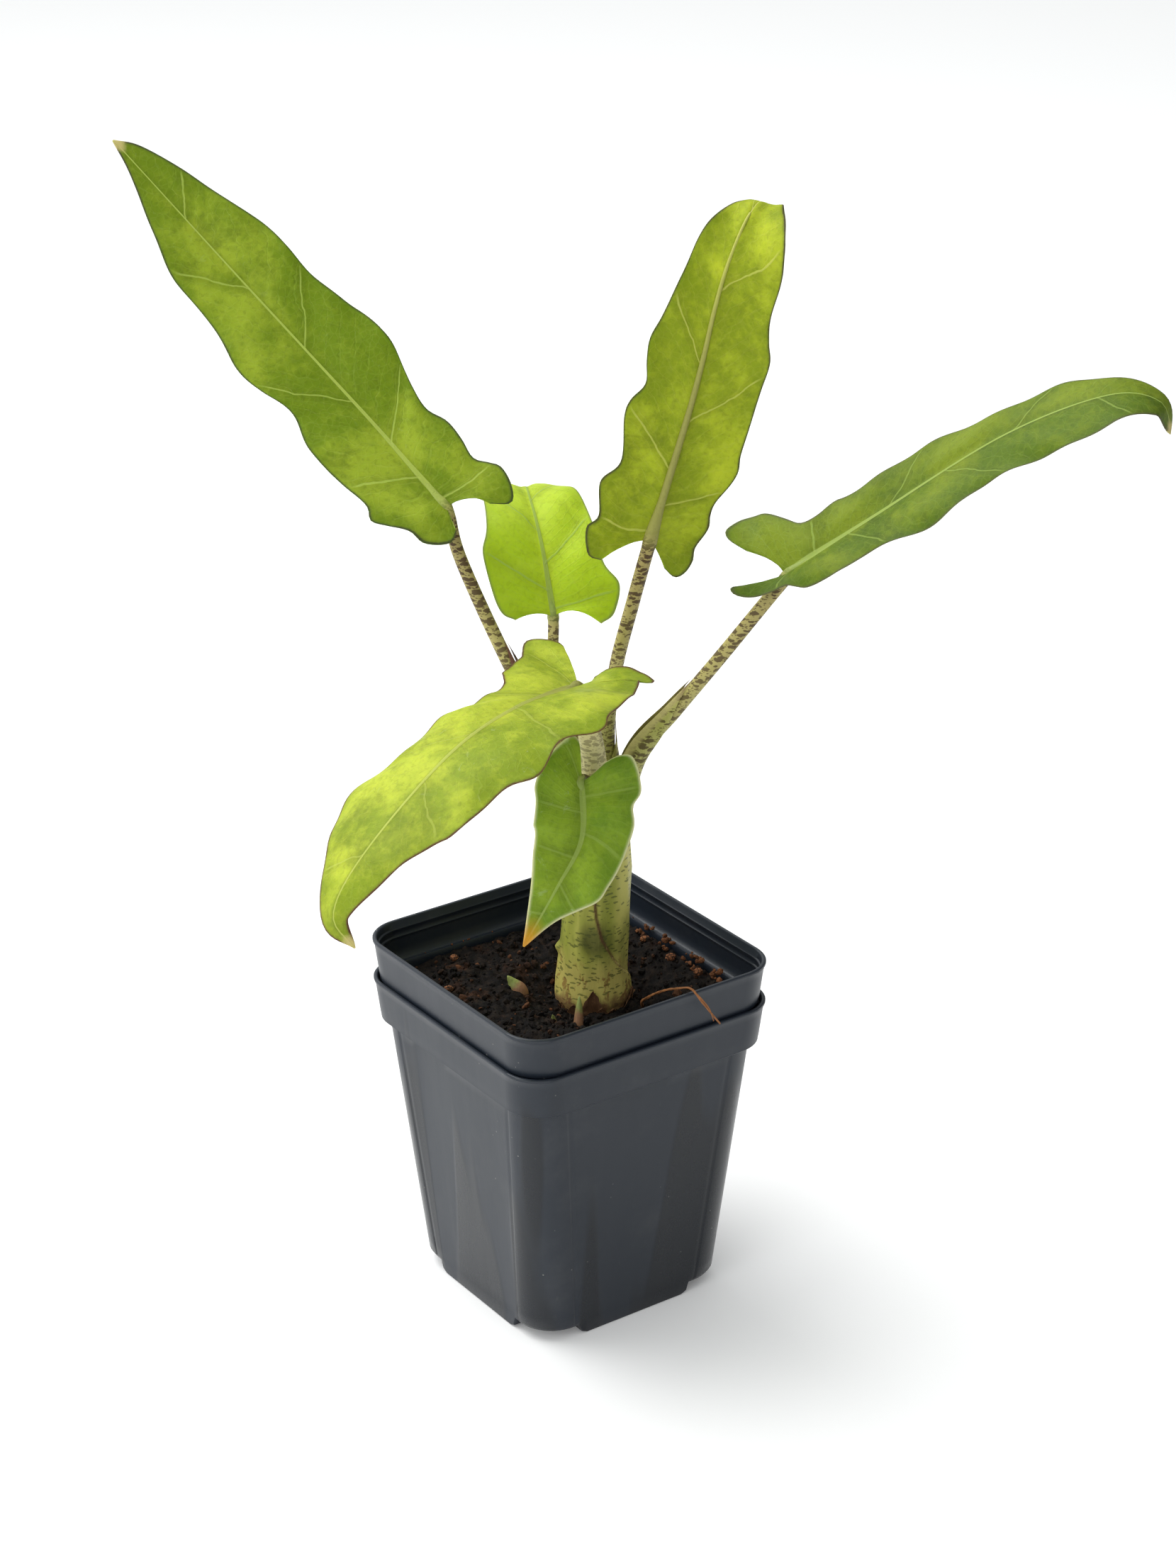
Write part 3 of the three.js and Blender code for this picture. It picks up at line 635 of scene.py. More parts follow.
def bars(f, place, scale, stretch, size):
    """Short broken bars lying across the stem, as a mask. size is a share of their spacing."""
    spots = f.cells(f.stretched(f.shaken(place, scale * 1.4, 0.5 / scale), (1, 1, stretch)), scale)
    sizes = f.step(f.noise(place, scale * 0.45, 1), 0.22, 0.5) * size
    return f.step(spots - sizes, 0.06, 0.0)


def stem_finish(plant):
    """Olive and cream green with short dark green marks, pale and brown-veined at the foot, with painted
    light making the side to the camera's right a lighter yellow.
    """
    f = Finish("pseudostem_skin", specular_ior_level=0.25, subsurface_weight=0.06,
               subsurface_radius=(0.4, 0.6, 0.15), subsurface_scale=0.002)
    place = f.place()
    x, y, height = f.split(place)
    cream = f.step(f.noise(f.stretched(place, (1, 1, 0.18)), 110, 3), 0.42, 0.66)
    colour = f.mix(cream * 0.85, tuple(plant.stem), (0.56, 0.54, 0.12))
    # painted light: the side of the stem to the camera's right is painted a lighter yellow
    outer = f.step(x * 0.82 - y * 0.57 - height * 0.061 + cream * 0.002, 0.0055, 0.0095)
    colour = f.mix(outer * 0.7, colour, (0.72, 0.66, 0.17))
    blot = f.step(f.noise(f.stretched(place, (1, 1, 0.6)), 80, 5, 0.65), 0.48, 0.66)
    colour = f.mix(blot * 0.5, colour, (0.09, 0.11, 0.016))
    ragged = f.noise(f.stretched(place, (1, 1, 0.5)), 160, 4, 0.65) * 0.012
    pale = f.step(height - ragged, 0.115, 0.104)
    colour = f.mix(pale * 0.85, colour, (0.56, 0.47, 0.13))
    stain = f.step(f.away(place, (0.0057, -0.0078, 0.125)) + ragged * 0.5, 0.0115, 0.005)
    colour = f.mix(stain * 0.75, colour, (0.035, 0.035, 0.01))
    marks = bars(f, place, 330, 2.9, 0.32)
    colour = f.mix(marks * 0.7, colour, (0.04, 0.055, 0.01))
    thread = f.noise(f.stretched(place, (1, 1, 0.12)), 900, 3)
    colour = f.mix(thread * 0.2, colour, (0.4, 0.4, 0.12))
    veined = f.step(f.noise(f.stretched(f.shaken(place, 120, 0.006), (1, 1, 0.5)), 260, 4, 0.7), 0.53, 0.6)
    colour = f.mix(veined * f.step(height - ragged, 0.113, 0.105) * 0.7, colour, (0.2, 0.085, 0.025))
    dry = f.step(height - ragged, 0.0985, 0.0945)
    colour = f.mix(dry * 0.8, colour, tuple(plant.paper))
    edge = f.value("sheath_edge")
    colour = f.mix(edge * 0.85, colour, tuple(c * 0.9 for c in plant.paper))
    return f.paint(base_color=colour, roughness=0.42 + dry * 0.35 + thread * 0.1,
                   normal=f.bump(thread * 0.6 + blot * 0.2 + dry * ragged * 20, 0.0004, 0.6))


def marked(f, place, ground, brown, plant):
    """A stalk's skin: threads along it, and bold and fine bars across it. A larger brown makes the bars
    darker. Gives the colour, the bars and the threads."""
    thread = f.noise(f.stretched(place, (1, 1, 0.15)), 1100, 3)
    colour = f.mix(thread * 0.3, ground, (0.5, 0.45, 0.19))
    marks = f.larger(bars(f, place, 290, 2.7, 0.46), bars(f, place, 760, 2.2, 0.34) * 0.8)
    return f.mix(marks * (brown * 0.2 + 0.75), colour, tuple(plant.marks)), marks, thread


def stalk_finish(name, plant, leaf):
    """A cream stalk with short dark bars, browner towards the blade, running on as the midrib."""
    f = Finish("stalk_" + name, specular_ior_level=0.25, subsurface_weight=0.08,
               subsurface_radius=(0.5, 0.6, 0.2), subsurface_scale=0.0015)
    place = f.place()
    along, rib = f.value("along"), f.value("rib")
    ground = f.mix(f.step(along, 0.2, 0.75), (0.36, 0.38, 0.075), tuple(plant.stalk))
    near = f.step(along, 0.55, 1.0) * leaf["brown"]
    ground = f.mix(near * 0.75, ground, (0.2, 0.125, 0.045))
    colour, marks, thread = marked(f, place, ground, near, plant)
    ribbed = f.mix(thread, tuple(0.75 * c for c in leaf["vein"]), leaf["vein"])
    ribbed = f.mix(f.step(f.value("on"), 0.8, 0.3) * leaf["tanned"], ribbed, (0.17, 0.15, 0.045))
    colour = f.mix(rib, colour, ribbed)
    return f.paint(base_color=colour, roughness=0.42 + marks * 0.1,
                   normal=f.bump(thread * 0.6 + marks * 0.4, 0.00025, 0.6))


def sheath_finish(name, plant):
    """The stalk's marked skin, with pale rims drying to brown at the point, and painted shade on the inner
    face.
    """
    f = Finish("sheath_" + name, specular_ior_level=0.22, subsurface_weight=0.1,
               subsurface_radius=(0.6, 0.6, 0.25), subsurface_scale=0.001)
    place = f.place()
    side, height, _ = f.split(f.map())
    rim = f.step(abs(side - 0.5), 0.37, 0.44)
    broad = f.step(f.noise(f.stretched(place, (1, 1, 0.3)), 90, 2), 0.35, 0.7)
    ground = f.mix(broad, (0.34, 0.35, 0.07), (0.55, 0.52, 0.2))
    if name == "arching":
        ground = (0.66, 0.6, 0.3)
    colour, marks, thread = marked(f, place, ground, SHEATHS[name]["bars"], plant)
    # painted shade: the inner face of the sheath, towards the stalk, is darkened
    colour = f.mix(f.value("under") * 0.6, colour, (0.2, 0.17, 0.05))
    colour = f.mix(rim * 0.8, colour, (0.5, 0.44, 0.18))
    dry = f.step(height, 0.9, 1.0) * f.step(abs(side - 0.5), 0.38, 0.5)
    colour = f.mix(dry * 0.85, colour, (0.12, 0.055, 0.03))
    if name == "left":
        colour = f.mix(f.step(height, 0.8, 0.95), colour, (0.13, 0.06, 0.035))
    return f.paint(base_color=colour, roughness=0.48 + marks * 0.1,
                   normal=f.bump(thread, 0.0004, 0.6))


def paper_finish(plant):
    """Dry fibrous sheath, brown to straw."""
    f = Finish("dry_scale", specular_ior_level=0.25)
    place = f.place()
    fibre = f.noise(f.stretched(place, (1, 1, 0.15)), 1400, 4, 0.7)
    patch = f.noise(place, 260, 3, 0.6)
    colour = f.mix(fibre, tuple(0.3 * c for c in plant.paper), tuple(plant.paper))
    colour = f.mix(f.step(patch, 0.5, 0.75) * 0.6, colour, (0.3, 0.17, 0.08))
    return f.paint(base_color=colour, roughness=0.65 + fibre * 0.25, normal=f.bump(fibre, 0.0004, 0.9))


def blade_finish(name, leaf, veins):
    """A blade: patchy green, pale veins, a net of fine veins, a thin coloured margin, waxy scratches, painted
    light on one half, and painted shade in the furrows beside the strong veins and along one side of the rib.

    "pace" is how many metres of the margin's pattern the map's whole height covers there, and
    "reach" is how far the margin is from the rib.
    """
    f = Finish("blade_" + name, specular_ior_level=0.14, subsurface_weight=0.18,
               subsurface_radius=(0.5, 1.0, 0.12), subsurface_scale=0.0012)
    place = f.place()
    side, along, _ = f.split(f.map())
    pace, reach, under = f.value("pace"), f.value("reach"), f.value("under")
    across = abs(side * 2 - 1)
    wander = f.noise(place, 90, 3)
    half = f.step(side, 0.499, 0.501) * 0.5
    order = along * veins + half + (wander - 0.5) * 0.12
    gap = f.nearest(order) * pace / veins
    fade = f.step(across, 1.0, 0.8)
    strong = f.step(gap, 0.0005, 0.00015) * fade
    shaded_groove = f.step(gap, 0.004, 0.0004) * fade
    weak = f.step(f.nearest(order * 7 + wander * 1.2) * pace / (veins * 7), 0.0003, 0.00008) * fade
    weak = weak * f.step(across, 0.0, 0.15)
    out = across * reach
    width = f.step(along, 1.1, 0.0) * 0.001 * leaf["ribbed"] + 0.0003
    rib = f.step(out / width, 1.15, 0.8)
    net = f.step(f.cells(place, 420, "DISTANCE_TO_EDGE"), 0.09, 0.02)

    broad = f.noise(place, 20, 3, 0.55, 0.6)
    middle = f.noise(place, 70, 4, 0.6)
    mottle = f.noise(place, 260, 4, 0.65)
    # painted light: one half of the blade is painted lighter and the other darker, as the light falls on them
    lighter = (0.5 - f.step(side, 0.35, 0.65)) * leaf["half_light"]
    patch = f.step(broad * 0.62 + middle * 0.26 + mottle * 0.12 + lighter, 0.43, 0.6)
    colour = f.mix(patch, leaf["blade"], leaf["patch"])
    dark = f.step(f.noise(place, 30, 6, 0.7, 0.8), 0.52, 0.68)
    colour = f.mix(dark * 0.5, colour, tuple(0.5 * c for c in leaf["blade"]))
    fleck = f.step(f.noise(f.shaken(place, 200, 0.002), 640, 3, 0.6), 0.5, 0.66)
    colour = f.mix(fleck * 0.22, colour, tuple(0.45 * c for c in leaf["blade"]))
    colour = f.mix(f.step(mottle, 0.45, 0.7) * 0.25, colour, leaf["patch"])
    rim = (1 - across) * reach
    colour = f.mix(f.step(rim, 0.007, 0.0) * 0.25, colour, tuple(0.7 * c for c in leaf["blade"]))
    colour = f.mix(net * 0.07, colour, leaf["vein"])
    # painted shade: the furrows beside the strong veins are darkened to show their relief
    colour = f.mix(shaded_groove * 0.22, colour, tuple(0.5 * c for c in leaf["blade"]))
    # painted shade: a dark band along one side of the rib, where the raised rib shades the blade
    beside = f.step(out, 0.0022, 0.0) * f.step(side, 0.5, 0.501)
    colour = f.mix(beside * 0.3, colour, tuple(0.4 * c for c in leaf["blade"]))
    colour = f.mix(weak * 0.09, colour, leaf["vein"])
    colour = f.mix(strong * leaf["veined"], colour, leaf["vein"])
    ribbed = f.mix(f.step(along, 0.8, 0.3) * leaf["tanned"], leaf["vein"], (0.19, 0.17, 0.05))
    colour = f.mix(rib * 0.85, colour, ribbed)
    wax = f.step(f.noise(f.stretched(place, (1, 0.6, 1)), 90, 5, 0.75, 1.5), 0.62, 0.7)
    scratch = f.step(f.noise(f.stretched(place, (0.5, 1, 0.4)), 520, 3, 0.5, 1.0), 0.7, 0.74)
    colour = f.mix((wax * 0.4 + scratch * 0.5) * leaf["wax"], colour, (0.5, 0.58, 0.36))
    line = f.step(rim + (mottle - 0.5) * 0.0006, 0.00075, 0.0003)
    colour = f.mix(f.step(rim, 0.0014, 0.0004) * 0.4, colour, leaf["edge"])
    colour = f.mix(line, colour, leaf["edge"])
    drying, dried = DRY_TIPS.get(name, (0.985, (0.5, 0.42, 0.16)))
    colour = f.mix(f.step(along + mottle * 0.02, drying, 1.0) * 0.9, colour, dried)
    relief = strong * 0.3 - shaded_groove * 0.25 + weak * 0.12 + rib * 0.4 + net * 0.08 + mottle * 0.3
    return f.paint(base_color=colour, roughness=0.46 + under * 0.1 + mottle * 0.14 - rib * 0.05,
                   normal=f.bump(relief, 0.0005, 0.6))


def root_finish():
    """A dry root: orange brown, darker in its wrinkles."""
    f = Finish("dry_root", specular_ior_level=0.3)
    place = f.place()
    wrinkle = f.noise(place, 900, 4, 0.7)
    colour = f.mix(wrinkle, (0.1, 0.035, 0.012), (0.42, 0.17, 0.055))
    return f.paint(base_color=colour, roughness=0.6 + wrinkle * 0.2, normal=f.bump(wrinkle, 0.0003, 0.8))


def shoot_finish(plant):
    """A young shoot: green at the tip, pink brown and papery below. "along" runs from foot to tip."""
    f = Finish("young_shoot", specular_ior_level=0.35)
    place = f.place()
    along = f.value("along") + (f.noise(place, 600, 3) - 0.5) * 0.3
    fibre = f.noise(f.stretched(place, (1, 1, 0.2)), 1500, 3)
    colour = f.mix(f.step(along, 0.45, 0.75), tuple(1.4 * c for c in plant.paper), (0.22, 0.3, 0.06))
    colour = f.mix(fibre * 0.4, colour, (0.32, 0.2, 0.13))
    return f.paint(base_color=colour, roughness=0.5 + fibre * 0.2, normal=f.bump(fibre, 0.0003, 0.7))


# ---- leaves -------------------------------------------------------------------------------------


class Leaf:
    """A leaf's rib, margins and stalk as lines, and the surface between them, in millimetres."""

    def __init__(self, shape):
        self.shape = shape
        self.rib = Path(shape["rib"])
        self.length = self.rib.length
        self.margins = [Path([*shape[side], (self.length, TIP_HALF)]) for side in ("left", "right")]
        self.face, self.tip_face = Vector(shape["face"]), Vector(shape["tip_face"])

    def frame(self, distance):
        held = min(max(distance, 0), self.length)
        tangent = self.rib.tangent(held)
        place = self.rib.at(held) + tangent * (distance - held)
        up = self.face.lerp(self.tip_face, held / self.length)
        up = (up - tangent * up.dot(tangent)).normalized()
        return place, tangent, up, tangent.cross(up)

    def point(self, distance, out, lift):
        place, _, up, right = self.frame(distance)
        along = min(max(2 * distance / self.length, 0), 1)
        cup = math.radians(self.shape["cup"] + (self.shape["tip_cup"] - self.shape["cup"]) * along)
        width = abs(out)
        rise = width * math.sin(cup) - BLADE_CURL * width * width
        rise += self.shape["lift"] * max(0, -distance) ** 2
        return place + right * out * math.cos(cup) + up * (rise + lift)

    def row(self, side, v):
        """A point of the flat blade, as (distance along the rib, distance out)."""
        half = LEFT if side < 0 else RIGHT
        across = abs(side)
        margin = self.margins[half].at(v * self.margins[half].length)
        start = Vector((self.length * v ** VEIN_SWEEP, 0, 0))
        sinus = Vector((*self.shape["sinus"][half], 0))
        bend = sinus.lerp(start.lerp(margin, 0.5), smoothstep(v, 0, LOBE_SHARE))
        flat = start.lerp(bend, across).lerp(bend.lerp(margin, across), across)
        return flat.x, math.copysign(flat.y, side)

    def reach(self, v, half):
        margin = self.margins[half].at(v * self.margins[half].length)
        start = self.length * v ** VEIN_SWEEP
        return max(math.hypot(margin.x - start, margin.y), 0.3)


def blade_piece(name, leaf, plant, seed):
    """One blade, quilted between its side veins and ruffled along its margin."""
    veins = plant.veins
    quilt, ruffle = plant.quilt / MM, plant.ruffle / MM
    base = plant.thickness / MM

    def thickness(side, v):
        across = abs(side)
        ends = min(1, v * 40) ** 0.5 * min(1, (1 - v) * 60) ** 0.5
        _, out = leaf.row(side, v)
        thick = base + 0.5 * math.exp(-(out / 2.5) ** 2)
        return thick * ends * max(0, 1 - across ** 16) ** 0.5

    def place(side, v, lift):
        distance, out = leaf.row(side, v)
        across = abs(side)
        half = LEFT if side < 0 else RIGHT
        swell = 0.5 - 0.5 * math.cos(2 * math.pi * (v * veins + 0.5 * half))
        narrow = min(1, leaf.reach(v, half) / 12)
        relief = quilt * swell * smoothstep(across, 0.05, 0.45) * smoothstep(across, 1.0, 0.7) * narrow
        wave = math.sin(2 * math.pi * v * leaf.margins[half].length / 21 + seed * 2 + half)
        relief += ruffle * wave * across ** 3 * narrow
        relief += 0.28 * math.exp(-(out / 0.7) ** 2) - 0.45 * math.exp(-(out / 2.0) ** 2)
        rolling = noise.noise(Vector((distance / 26, out / 18, seed)))
        relief += 1.1 * narrow * rolling * smoothstep(across, 0, 0.3)
        return leaf.point(distance, out, lift + relief * smoothstep(v, 0.96, 0.74))

    def reach(side, v):
        return leaf.reach(v, LEFT if side < 0 else RIGHT) * MM

    def pace(side, v):
        across = abs(side)
        half = LEFT if side < 0 else RIGHT
        at_rib = leaf.length * VEIN_SWEEP * max(v, 0.02) ** (VEIN_SWEEP - 1)
        return (at_rib * (1 - across) + leaf.margins[half].length * across) * 0.8 * MM

    return shell("blade_" + name + "_skin", 13, 120, place, thickness, {"reach": reach, "pace": pace})


def stalk_path(leaf):
    """The line of a stalk from inside the pseudostem to its blade and on under the rib."""
    shape = leaf.shape
    angle = math.radians(shape["ring"])
    out = Vector((math.cos(angle), math.sin(angle), 0))
    axis = (STEM_TOP - STEM_FOOT) / (STEM_TOP.z - STEM_FOOT.z)
    low = STEM_FOOT + axis * (132 - STEM_FOOT.z) + out * 4.2
    start = STEM_TOP + out * STALK_RING - Vector((0, 0, 6))
    points = [low, start, *[Vector(p) for p in shape["stalk"]]]
    place, tangent, up, _ = leaf.frame(0)
    points.append(place - tangent * 1.0 - up * (shape["radius"] * 0.9))
    count = max(4, round(leaf.length / 14))
    for step in range(count):
        distance = 5 + (leaf.length - 8) * step / (count - 1)
        place, _, up, _ = leaf.frame(distance)
        points.append(place - up * (0.35 + shape["radius"] * 0.45 * (1 - distance / leaf.length)))
    return Path(points)


def stalk_piece(name, leaf, path, joint):
    """A stalk that flares into the pseudostem and tapers on to the tip as the midrib."""
    share = joint / path.length
    radius = leaf.shape["radius"]

    def girth(t, angle):
        if t < share:
            up = t / share
            size = radius + (5.2 - radius) * max(0, 1 - up * 2.6) ** 1.5 + 0.5 * (1 - up)
            return size * (1 + 0.03 * math.sin(3 * angle + 9 * up))
        on = (t - share) / (1 - share)
        return radius * (1 - on) ** 1.1 * (1 - 0.45 * smoothstep(on, 0, 0.12)) + 0.22

    values = {
        "along": lambda t: min(t / share, 1),
        "rib": lambda t: smoothstep(t, share - 0.01, share + 0.02),
        "on": lambda t: max(t - share, 0) / (1 - share),
    }
    return tube("stalk_" + name + "_skin", path, 0, path.length, girth, 16, 150, values)


def sheath_piece(name, leaf, path):
    """The open sheath at a stalk's foot: two wings that meet on one side in a point."""
    sheath = SHEATHS[name]
    foot, tip, closed = sheath["foot"], sheath["tip"], sheath["closed"]
    opens = math.radians(sheath["opens"])
    opening = Vector((math.cos(opens), math.sin(opens), 0))
    reach = math.radians(150)

    def place(side, v, lift):
        flank = abs(side)
        distance = foot + (tip - foot) * v * (closed + (1 - closed) * flank ** 1.5)
        tangent = path.tangent(distance)
        back = (tangent * opening.dot(tangent) - opening).normalized()
        aside = tangent.cross(back)
        level = (distance - foot) / (tip - foot)
        angle = reach * side
        wing = sheath["wings"] * (1 - level ** 2.5) + 0.5
        size = leaf.shape["radius"] + 0.25 + sheath["wider"] * (1 - level ** 3)
        size += wing * (0.5 - 0.5 * math.cos(reach * flank))
        size += 0.2 * noise.noise(Vector((side * 2, level * 5, sheath["opens"])))
        narrow = 1 - 0.3 * smoothstep(flank, 0.5, 1) * level
        outward = back * math.cos(angle) + aside * math.sin(angle) * narrow
        return path.at(distance) + outward * (size + lift)

    def thickness(side, v):
        return 0.6 * (1 - abs(side) ** 6) ** 0.5 * min(1, v * 20) ** 0.5 * min(1, (1 - v) * 12) ** 0.5

    return shell("sheath_" + name, 10, 60, place, thickness)


# ---- pots, mix and small pieces -----------------------------------------------------------------


def pocket(x, y, start=FOOT_HALF):
    """How far the pot's underside is raised at a point: nothing between the feet, full at corners."""
    return FOOT_HEIGHT * smoothstep(min(abs(x), abs(y)), start - 0.7, start + 0.7)


def body_half(height):
    """Half the outside width of a pot's body at a height above its own underside."""
    return BASE_HALF + (SHOULDER_HALF - BASE_HALF) * height / SHOULDER


def pot_rings(pots):
    """Rings from the middle of the underside, up the outside, over the rim and down inside.

    Each is (half width, height, corner radius, zone), where the zone says how the ring is finished.
    """
    wall = pots.wall / MM
    rings = [(0, 0, 0, "foot"), (FOOT_HALF - 1, 0, 0.5, "foot"), (FOOT_HALF + 1, 0, 0.5, "foot"),
             (30, 0, 6, "foot"), (BASE_HALF - 0.7, 0, CORNER - 0.7, "foot"),
             (BASE_HALF - 0.2, 0.2, CORNER - 0.2, "foot"), (BASE_HALF + 0.05, 0.8, CORNER, "foot")]
    for step in range(21):
        height = 5.2 + (SHOULDER - 6.2) * step / 20
        rings.append((body_half(height), height, CORNER, "panel"))
    rings += [(SHOULDER_HALF, SHOULDER - 0.35, CORNER, "collar"),
              (SHOULDER_HALF + 0.3, SHOULDER, CORNER, "collar"),
              (COLLAR_HALF - 0.35, SHOULDER, CORNER, "collar"),
              (COLLAR_HALF, SHOULDER + 0.35, CORNER, "collar"),
              (COLLAR_HALF + 0.05, SHOULDER + 1.2, CORNER, "collar")]
    for step in range(1, 6):
        share = step / 6
        rings.append((COLLAR_HALF + (RIM_HALF - 0.35 - COLLAR_HALF) * share,
                      SHOULDER + (POT_HEIGHT - SHOULDER - 1.4) * share, CORNER, "collar"))
    top = POT_HEIGHT
    rings += [(RIM_HALF - 0.3, top - 1.5, CORNER, "collar"), (RIM_HALF, top - 1.1, CORNER, "collar"),
              (RIM_HALF, top - 0.4, CORNER, "collar"), (RIM_HALF - 0.2, top - 0.1, CORNER, "collar"),
              (RIM_HALF - 0.6, top, CORNER, "collar"), (RIM_HALF - 1.1, top - 0.1, CORNER - 1, "collar"),
              (RIM_HALF - 1.35, top - 0.5, CORNER - 1, "collar")]
    inner = RIM_HALF - wall - 0.5
    for drop, inset in ((2.6, 0), (3.0, 0.35), (3.5, 0.35), (3.9, 0.05), (5.4, 0.1), (5.8, 0.45),
                        (6.3, 0.45), (6.7, 0.15), (10, 0.35), (12.4, 0.55)):
        rings.append((inner - inset, top - drop, CORNER - 1, "collar"))
    ledge = SHOULDER + wall + 0.1
    rings += [(COLLAR_HALF - wall - 0.3, ledge + 0.3, CORNER - 1, "collar"),
              (COLLAR_HALF - wall - 0.7, ledge, CORNER - 1, "collar"),
              (SHOULDER_HALF - wall + 0.3, ledge, CORNER - 1, "collar"),
              (SHOULDER_HALF - wall, ledge - 0.4, CORNER - 1, "collar")]
    for step in range(9, -1, -1):
        height = 7 + (SHOULDER - 8) * step / 9
        rings.append((body_half(height) - wall, height, CORNER - 1, "inside"))
    floor = 1.4
    rings += [(BASE_HALF - wall, floor + 0.5, CORNER - 1, "floor"),
              (BASE_HALF - wall - 1, floor, CORNER - 2, "floor"),
              (30, floor, 6, "floor"), (FOOT_HALF, floor, 0.5, "floor"), (FOOT_HALF - 2, floor, 0.5, "floor"),
              (0, floor, 0, "floor")]
    return rings


def pot_piece(name, pots):
    marks = [-1, -0.985, -0.965, -0.94, -0.9, -0.86, -0.78, -0.6, -0.4, -0.2, 0]
    marks += [-m for m in reversed(marks[:-1])]
    stations = outline(marks, 12)
    rings = pot_rings(pots)
    warp = pots.warp / MM

    def place(u, v):
        station = stations[round(u * len(stations)) % len(stations)]
        half, height, radius, zone = rings[round(v * (len(rings) - 1))]
        if zone in ("foot", "floor") and half < BASE_HALF - 1:
            # on the floor every column keeps to its own line, so that the feet stay square
            edge = on_outline(station, BASE_HALF, CORNER)
            x, y = (math.copysign(min(abs(c), half), c) for c in edge)
        else:
            x, y = on_outline(station, half, radius)
        if zone == "foot":
            height += pocket(x, y)
        elif zone == "floor":
            height += pocket(x, y, FOOT_HALF - 1)
        elif zone == "panel":
            (cx, cy), (nx, ny) = station
            mark = cx if abs(cy) == 1 and nx == 0 else cy
            flat = abs(nx) in (0, 1) and abs(ny) in (0, 1)
            if flat:
                up = height / SHOULDER
                sink = warp * (1 - mark ** 4) * (0.6 + 0.4 * math.sin(3.1 * up + 2 * mark + 3 * nx + ny))
                sink += 0.22 * math.exp(-((abs(mark) - 0.965) / 0.012) ** 2)
                x, y = x - nx * sink, y - ny * sink
        return Vector((x, y, height))

    piece = sheet(name, len(stations), len(rings) - 1, place)
    weld(piece)
    for x, y in ((1, 1), (1, -1), (-1, 1), (-1, -1)):
        bpy.ops.object.select_all(action="DESELECT")
        bpy.ops.mesh.primitive_cylinder_add(vertices=32, radius=DRAIN_RADIUS * MM, depth=0.02,
                                            location=(x * DRAIN_PLACE * MM, y * DRAIN_PLACE * MM, 0))
        drill = bpy.context.object
        alone(piece)
        cut = piece.modifiers.new("drain", "BOOLEAN")
        cut.object = drill
        cut.solver = "EXACT"
        bpy.ops.object.modifier_apply(modifier=cut.name)
        bpy.data.objects.remove(drill)
    bpy.ops.object.shade_smooth_by_angle(angle=math.radians(40))
    return piece


def stem_axis(z):
    return STEM_FOOT.lerp(STEM_TOP, (z - STEM_FOOT.z) / (STEM_TOP.z - STEM_FOOT.z))


def mix_height(x, y, relief):
    """Height of the mix's lumpy top at a point, in millimetres: it is hollowed round the plant."""
    away = math.hypot(x - HOLLOW_PLACE[0], y - HOLLOW_PLACE[1])
    height = MIX_LEVEL - MIX_HOLLOW * (1 - smoothstep(away, HOLLOW_INNER, HOLLOW_OUTER))
    height += relief * 0.7 * noise.noise(Vector((x / 9, y / 9, 3)))
    height += relief * 0.6 * noise.noise(Vector((x / 3.4, y / 3.4, 9)))
    height += relief * 0.4 * abs(noise.noise(Vector((x / 1.3, y / 1.3, 5))))
    height += relief * 0.25 * noise.noise(Vector((x / 0.6, y / 0.6, 1)))
    return height


def mix_piece(mix):
    marks = [i / 34 for i in range(-34, 35)]
    stations = outline(marks, 24)
    top = [(i / 74) for i in range(75)]
    down = 8
    relief = mix.relief / MM

    def place(u, v):
        ring = round(v * (len(top) + down))
        station = stations[round(u * len(stations)) % len(stations)]
        if ring < len(top):
            half = MIX_HALF * top[ring]
            x, y = on_outline(station, half, half * MIX_CORNER)
            return Vector((x, y, mix_height(x, y, relief)))
        step = ring - len(top)
        edge = MIX_LEVEL - 4
        level = edge - (edge - MIX_FLOOR) * min(step, down - 1) / (down - 1)
        half = body_half(level - NEST_RISE) - 1.6
        half = half if step < down else 0
        x, y = on_outline(station, half, half * MIX_CORNER)
        return Vector((x, y, level))

    piece = sheet("mix_body", len(stations), len(top) + down, place)
    piece.data.attributes.new("tone", "FLOAT", "POINT")
    return weld(piece)


